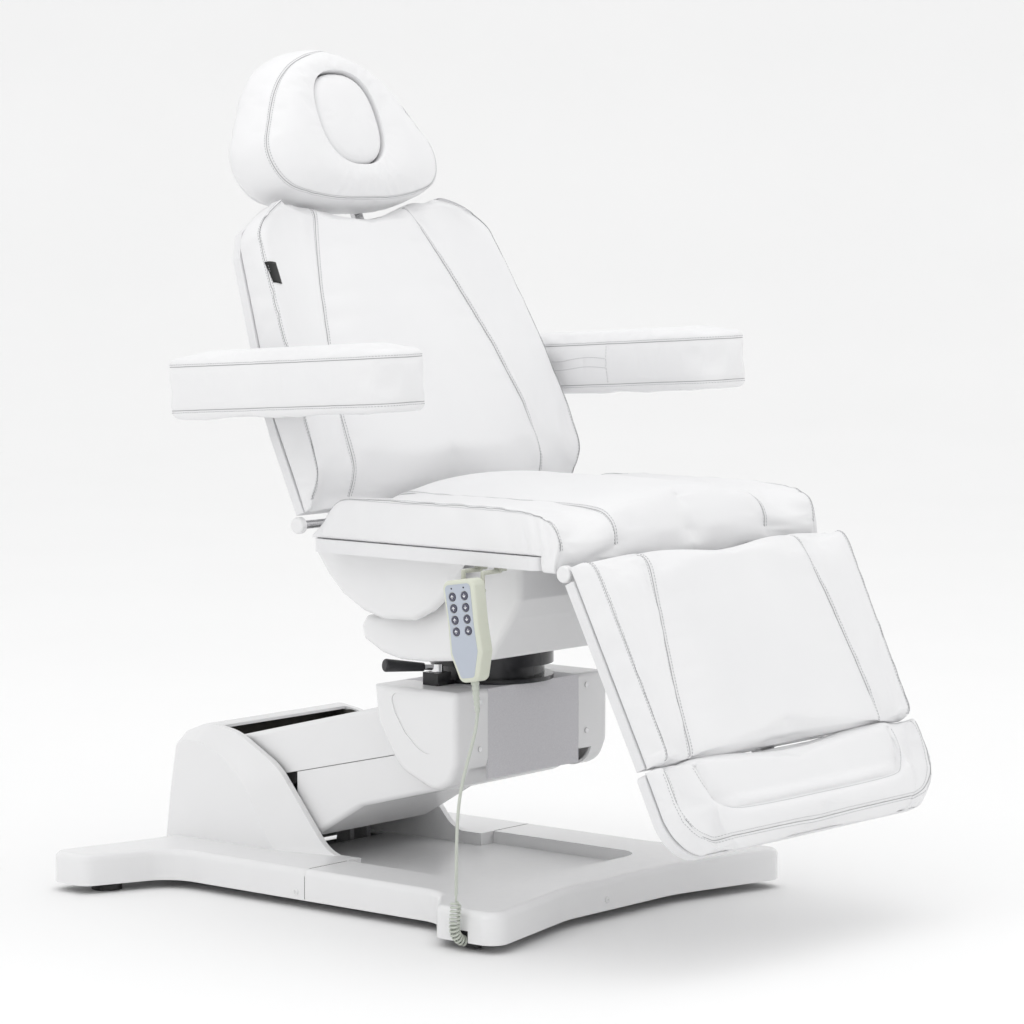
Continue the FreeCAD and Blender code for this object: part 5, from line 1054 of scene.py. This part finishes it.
groove, rim = (on_skin(foot_pad.piece, on_leg, path) for path in (groove_path, rim_path))
foot_piece = finish_pad(foot_pad, "foot_pad", "foot_cushion", "footrest",
                        [(groove, 9.0, 7.5), (rim, seam_deep, seam_wide)])
# Painted shade: a dark tube along the rim's seam, for the shade of its crease.
seam_shade_lines("foot_pad_seams", foot_piece, [(on_skin(foot_piece, on_leg, rim_path), False)], "footrest")
sewn_paths = (groove_path * [1.025, 1, 1] + [0, 4, 0], rim_path * [0.988, 1, 1] - [0, 3.4, 0],
              rim_path * [1.01, 1, 1] + [0, 3, 0])
stitches("foot_pad_stitches", foot_piece,
         [(on_skin(foot_piece, on_leg, path), False) for path in sewn_paths], "footrest")

# Slit pocket in the side that faces the sitter, with a row of stitches above and below
pocket_end, slit_row = -226, [0, 0, 7]
for side, pad in armrests.items():
    x = armrest_near * side
    slit = np.array([(x, y, 2 + 2.2 * math.sin(y / 17)) for y in np.linspace(-8, -222, 40)])
    end = np.array([(x, pocket_end, z) for z in np.linspace(28, -28, 20)])
    name = "armrest_pad_" + hands[side]
    body = "armrest_" + hands[side]
    piece = finish_pad(pad, name + "_cover", name, body,
                       [(on_armrest(slit), 5.0, 3.2), (on_armrest(end), 1.2, 2.4)])
    rows = [(on_armrest(row), False)
            for row in (slit + slit_row, slit - slit_row, end + [0, 3, 0])]
    stitches(name + "_pocket_stitches", piece, rows, body)


# Small pieces
def plate(name, outline, holes, thick, place):
    """Flat plate with a soft edge; the outline and its holes are (across, up)."""
    data = bpy.data.curves.new(name, "CURVE")
    data.dimensions = "2D"
    data.fill_mode = "BOTH"
    for loop in [outline] + holes:
        spline = data.splines.new("POLY")
        spline.points.add(len(loop) - 1)
        for at, (x, y) in zip(spline.points, loop):
            at.co = (x, y, 0, 1)
        spline.use_cyclic_u = True
    data.extrude = thick * 0.3
    data.bevel_depth = thick * 0.2
    data.offset = -thick * 0.2
    co, faces = mesh_of(bpy.data.objects.new(name + "_flat", data))
    return add_piece(name, place(np.stack([co[:, 0], co[:, 2], co[:, 1]], axis=1)), faces)


def circle(x, y, r, count=28):
    turn = math.tau * np.arange(count) / count
    return [(x + r * math.cos(t), y + r * math.sin(t)) for t in turn]


def lifted(height):
    """Place plates so far off the hand control's face."""
    return lambda points: on_handset(points + [0, height, 0])


key_columns = (-10.5, 10.5)
button_places = [(x, -22 - 15.4 * row) for row in range(4) for x in key_columns]
face_half = [(22, -6), (20.6, -61), (22, -96), (11, -130)]
face_line = rounded([(-x, z) for x, z in face_half] + face_half[::-1],
                    [6, 40, 12, 5, 5, 12, 40, 6], 8)
face_plate = plate("handset_face_plate", face_line,
                   [circle(x, z, 6.4) for x, z in button_places], 0.7, lifted(0.2))
dress(face_plate, face_blue, "handset")
for i, x in enumerate(key_columns):
    lamp = plate("handset_lamp_%d" % (i + 1), circle(x, -11.0, 1.1, 16), [], 0.5, lifted(0.75))
    dress(lamp, tag_cloth, "handset")

arrow = [(-0.5, -2.6), (0.5, -2.6), (0.5, 0.6), (2.0, -0.7), (2.6, 0.1), (0.0, 2.6),
         (-2.6, 0.1), (-2.0, -0.7), (-0.5, 0.6)]
for i, (x, z) in enumerate(button_places):
    turn = 1 if i % 2 == 0 else -1
    mark = plate("key_mark_%d" % (i + 1), [(x + a * turn, z + b * turn) for a, b in arrow], [],
                 0.24, lifted(1.25))
    dress(mark, mark_white, "handset_button_%d" % (i + 1))


def turned(name, profile, centre, axis, count=32):
    """Round piece turned from (radius, height) points about an axis."""
    axis = unit(np.array(axis, float))
    side = unit(np.cross(axis, [0, 0, 1] if abs(axis[2]) < 0.9 else [1, 0, 0]))
    other = np.cross(axis, side)
    rings = [[np.array(centre) + axis * h + (side * math.cos(t) + other * math.sin(t)) * r
              for t in math.tau * np.arange(count) / count] for r, h in profile]
    return ring_piece(name, [(rings, False)])


screw_profile = [(4.6, -1.0), (4.6, 0.4), (4.2, 1.3), (3.2, 1.9), (1.9, 2.1), (1.8, 1.2),
                 (0.3, 1.1)]
screw_places = [((-250, 182, 23), (-1, 0, 0)), ((250, 182, 23), (1, 0, 0)),
                ((-33, -204, 27), (0, -1, 0))]
for i, (centre, way) in enumerate(screw_places):
    screw = turned("cover_screw_%d" % (i + 1), screw_profile, centre, way)
    dress(screw, cover_white, "base")

# Sealing lips between the two base covers
lip_y, lip_wide, lip_proud, lip_sunk = 165.85, 0.9, 0.35, -0.4
lip_section = [(lip_sunk, -lip_wide / 2), (lip_proud, -lip_wide / 4), (lip_proud, lip_wide / 4),
               (lip_sunk, lip_wide / 2)]
lip_line = np.array([(250, 14), (250, 42)]
                    + [(238 + 12 * math.cos(a), 44 + 12 * math.sin(a))
                       for a in np.linspace(0, math.pi / 2, 10)] + [(230, 56), (162, 56)])
way = np.gradient(lip_line, axis=0)
lip_out = unit(np.stack([way[:, 1], -way[:, 0]], axis=1))
for side in (-1, 1):
    rings = [[(side * (x + nx * rise), lip_y + across, z + nz * rise)
              for rise, across in lip_section] for (x, z), (nx, nz) in zip(lip_line, lip_out)]
    dress(ring_piece("cover_lip_" + hands[side], [(rings, False)]), dark_seal_and_shade_sheet,
          "base")

# Blank ribbon tag sewn into the backrest's outer seam
tag_across = -257.0 + 4.6 * np.arange(6)
tag_along = 368.0 - 4.0 * np.arange(9)
tag_over, tag_under = 1.2, 0.3
back_skin = skin_of(back_pad.piece)
tag_rings = []
for d in tag_along:
    found = []
    for x in tag_across:
        over, under = (Vector(on_back((x, d, n)) * MM) for n in (110.0, 0.0))
        found.append(back_skin.ray_cast(over, under - over)[:2])
    tag_rings.append([at / MM + normal * tag_over for at, normal in found]
                     + [at / MM + normal * tag_under for at, normal in found[::-1]])
dress(ring_piece("blank_tag", [(tag_rings, False)]), tag_cloth, "backrest")


# Dark strip round the inside of the housing's slot, under its rim: a dark sheet that paints the
# shade inside the slot
rear_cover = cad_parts["rear_cover"]
to_cover = rear_cover.matrix_world.inverted()
cover_skin = skin_of(rear_cover)
shade_strip_x, shade_strip_front, shade_strip_rear = 131.2, 318.0, 466.6
shade_strip_thick, shade_strip_tall, shade_strip_low = 1.0, 42.0, 41.0
crest_x = 138.0
shade_strip_side = np.array([(shade_strip_x, y) for y in np.linspace(shade_strip_front, shade_strip_rear - 4, 42)]
                      + [(shade_strip_x - 1.2, shade_strip_rear - 1.2)])
shade_strip_line = np.vstack([shade_strip_side, [(x, shade_strip_rear) for x in np.linspace(126, -126, 22)],
                        (shade_strip_side * [-1, 1])[::-1]])
shade_strip_in = -inward(shade_strip_line[::-1])[::-1]
shade_strip_rings = []
for (x, y), way in zip(shade_strip_line, shade_strip_in):
    above = to_cover @ (Vector((crest_x, y, 400.0)) * MM)
    top = (rear_cover.matrix_world @ cover_skin.ray_cast(above, Vector((0, 0, -1)))[0]).z / MM
    top -= np.interp(y, [shade_strip_front, 425.0, 437.0], [2.0, 2.5, 5.5])
    low = max(top - shade_strip_tall, shade_strip_low)
    shade_strip_rings.append([(x + way[0] * off, y + way[1] * off, z)
                        for off, z in ((-shade_strip_thick / 2, top), (shade_strip_thick / 2, top),
                                       (shade_strip_thick / 2, low), (-shade_strip_thick / 2, low))])
dress(ring_piece("slot_brush", [(shade_strip_rings, False)]), dark_seal_and_shade_sheet, "base")


# CAD pieces keep their shapes and get their finishes by slot
own_finish = {"carriage_front_panel": panel_grey, "back_board": board_leather}
for name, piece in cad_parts.items():
    for slot in piece.material_slots:
        wanted = slot.material.name if slot.material else ""
        matches = [f for key, f in slot_finishes.items() if wanted.startswith(key)]
        slot.material = own_finish.get(name) or (matches + [cover_white])[0]


# Floor, light and background
floor_profile = [(0.5, 0.0), (7.0, 0.0), (8.5, 0.12), (10.0, 0.6), (11.2, 1.5), (12.0, 2.8),
                 (12.4, 4.5), (12.5, 6.5)]
floor_sides = 96
floor_rings = [[(r * math.cos(math.tau * i / floor_sides) / MM,
                 r * math.sin(math.tau * i / floor_sides) / MM, z / MM - 0.5)
                for i in range(floor_sides)] for r, z in floor_profile]
floor = add_piece("floor", np.reshape(floor_rings, (-1, 3)),
                  ring_faces(len(floor_profile), floor_sides, False)[:1 - floor_sides // 2])
floor_finish = Finish("pale_floor", Roughness=0.9, Specular_IOR_Level=0.1)
floor_tone = floor_finish.noise(1.5, 2.0)
floor_finish.wear("Base Color", floor_finish.between(floor_tone, (0.93, 0.93, 0.93),
                                                     (0.95, 0.95, 0.95)))
floor.data.materials.append(floor_finish.material)
floor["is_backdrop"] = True

world = bpy.data.worlds.new("studio")
world.use_nodes = True
background = world.node_tree.nodes["Background"].inputs
background[0].default_value = white
background[1].default_value = 1.0
bpy.context.scene.world = world
bpy.context.scene.view_settings.view_transform = "Standard"


def soft_light(name, place, target, size, power):
    """Rectangular light of so many watts, turned to its target."""
    light = bpy.data.lights.new(name, "AREA")
    light.shape = "RECTANGLE"
    light.size, light.size_y = size
    light.energy = power
    lamp = place_new(name, light)
    lamp.location = place
    way = Vector(target) - Vector(place)
    lamp.rotation_euler = way.to_track_quat("-Z", "Y").to_euler()


soft_light("left_softbox", (-3.4, 0.6, 2.6), (0, 0, 0.6), (1.6, 2.2), 12)
soft_light("top_softbox", (0.3, -0.4, 3.6), (0, 0, 0.5), (2.4, 2.4), 14)
soft_light("front_fill", (-0.6, -4.2, 1.8), (0, 0, 0.5), (2.0, 1.6), 5)

bpy.context.view_layer.update()
low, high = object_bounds()
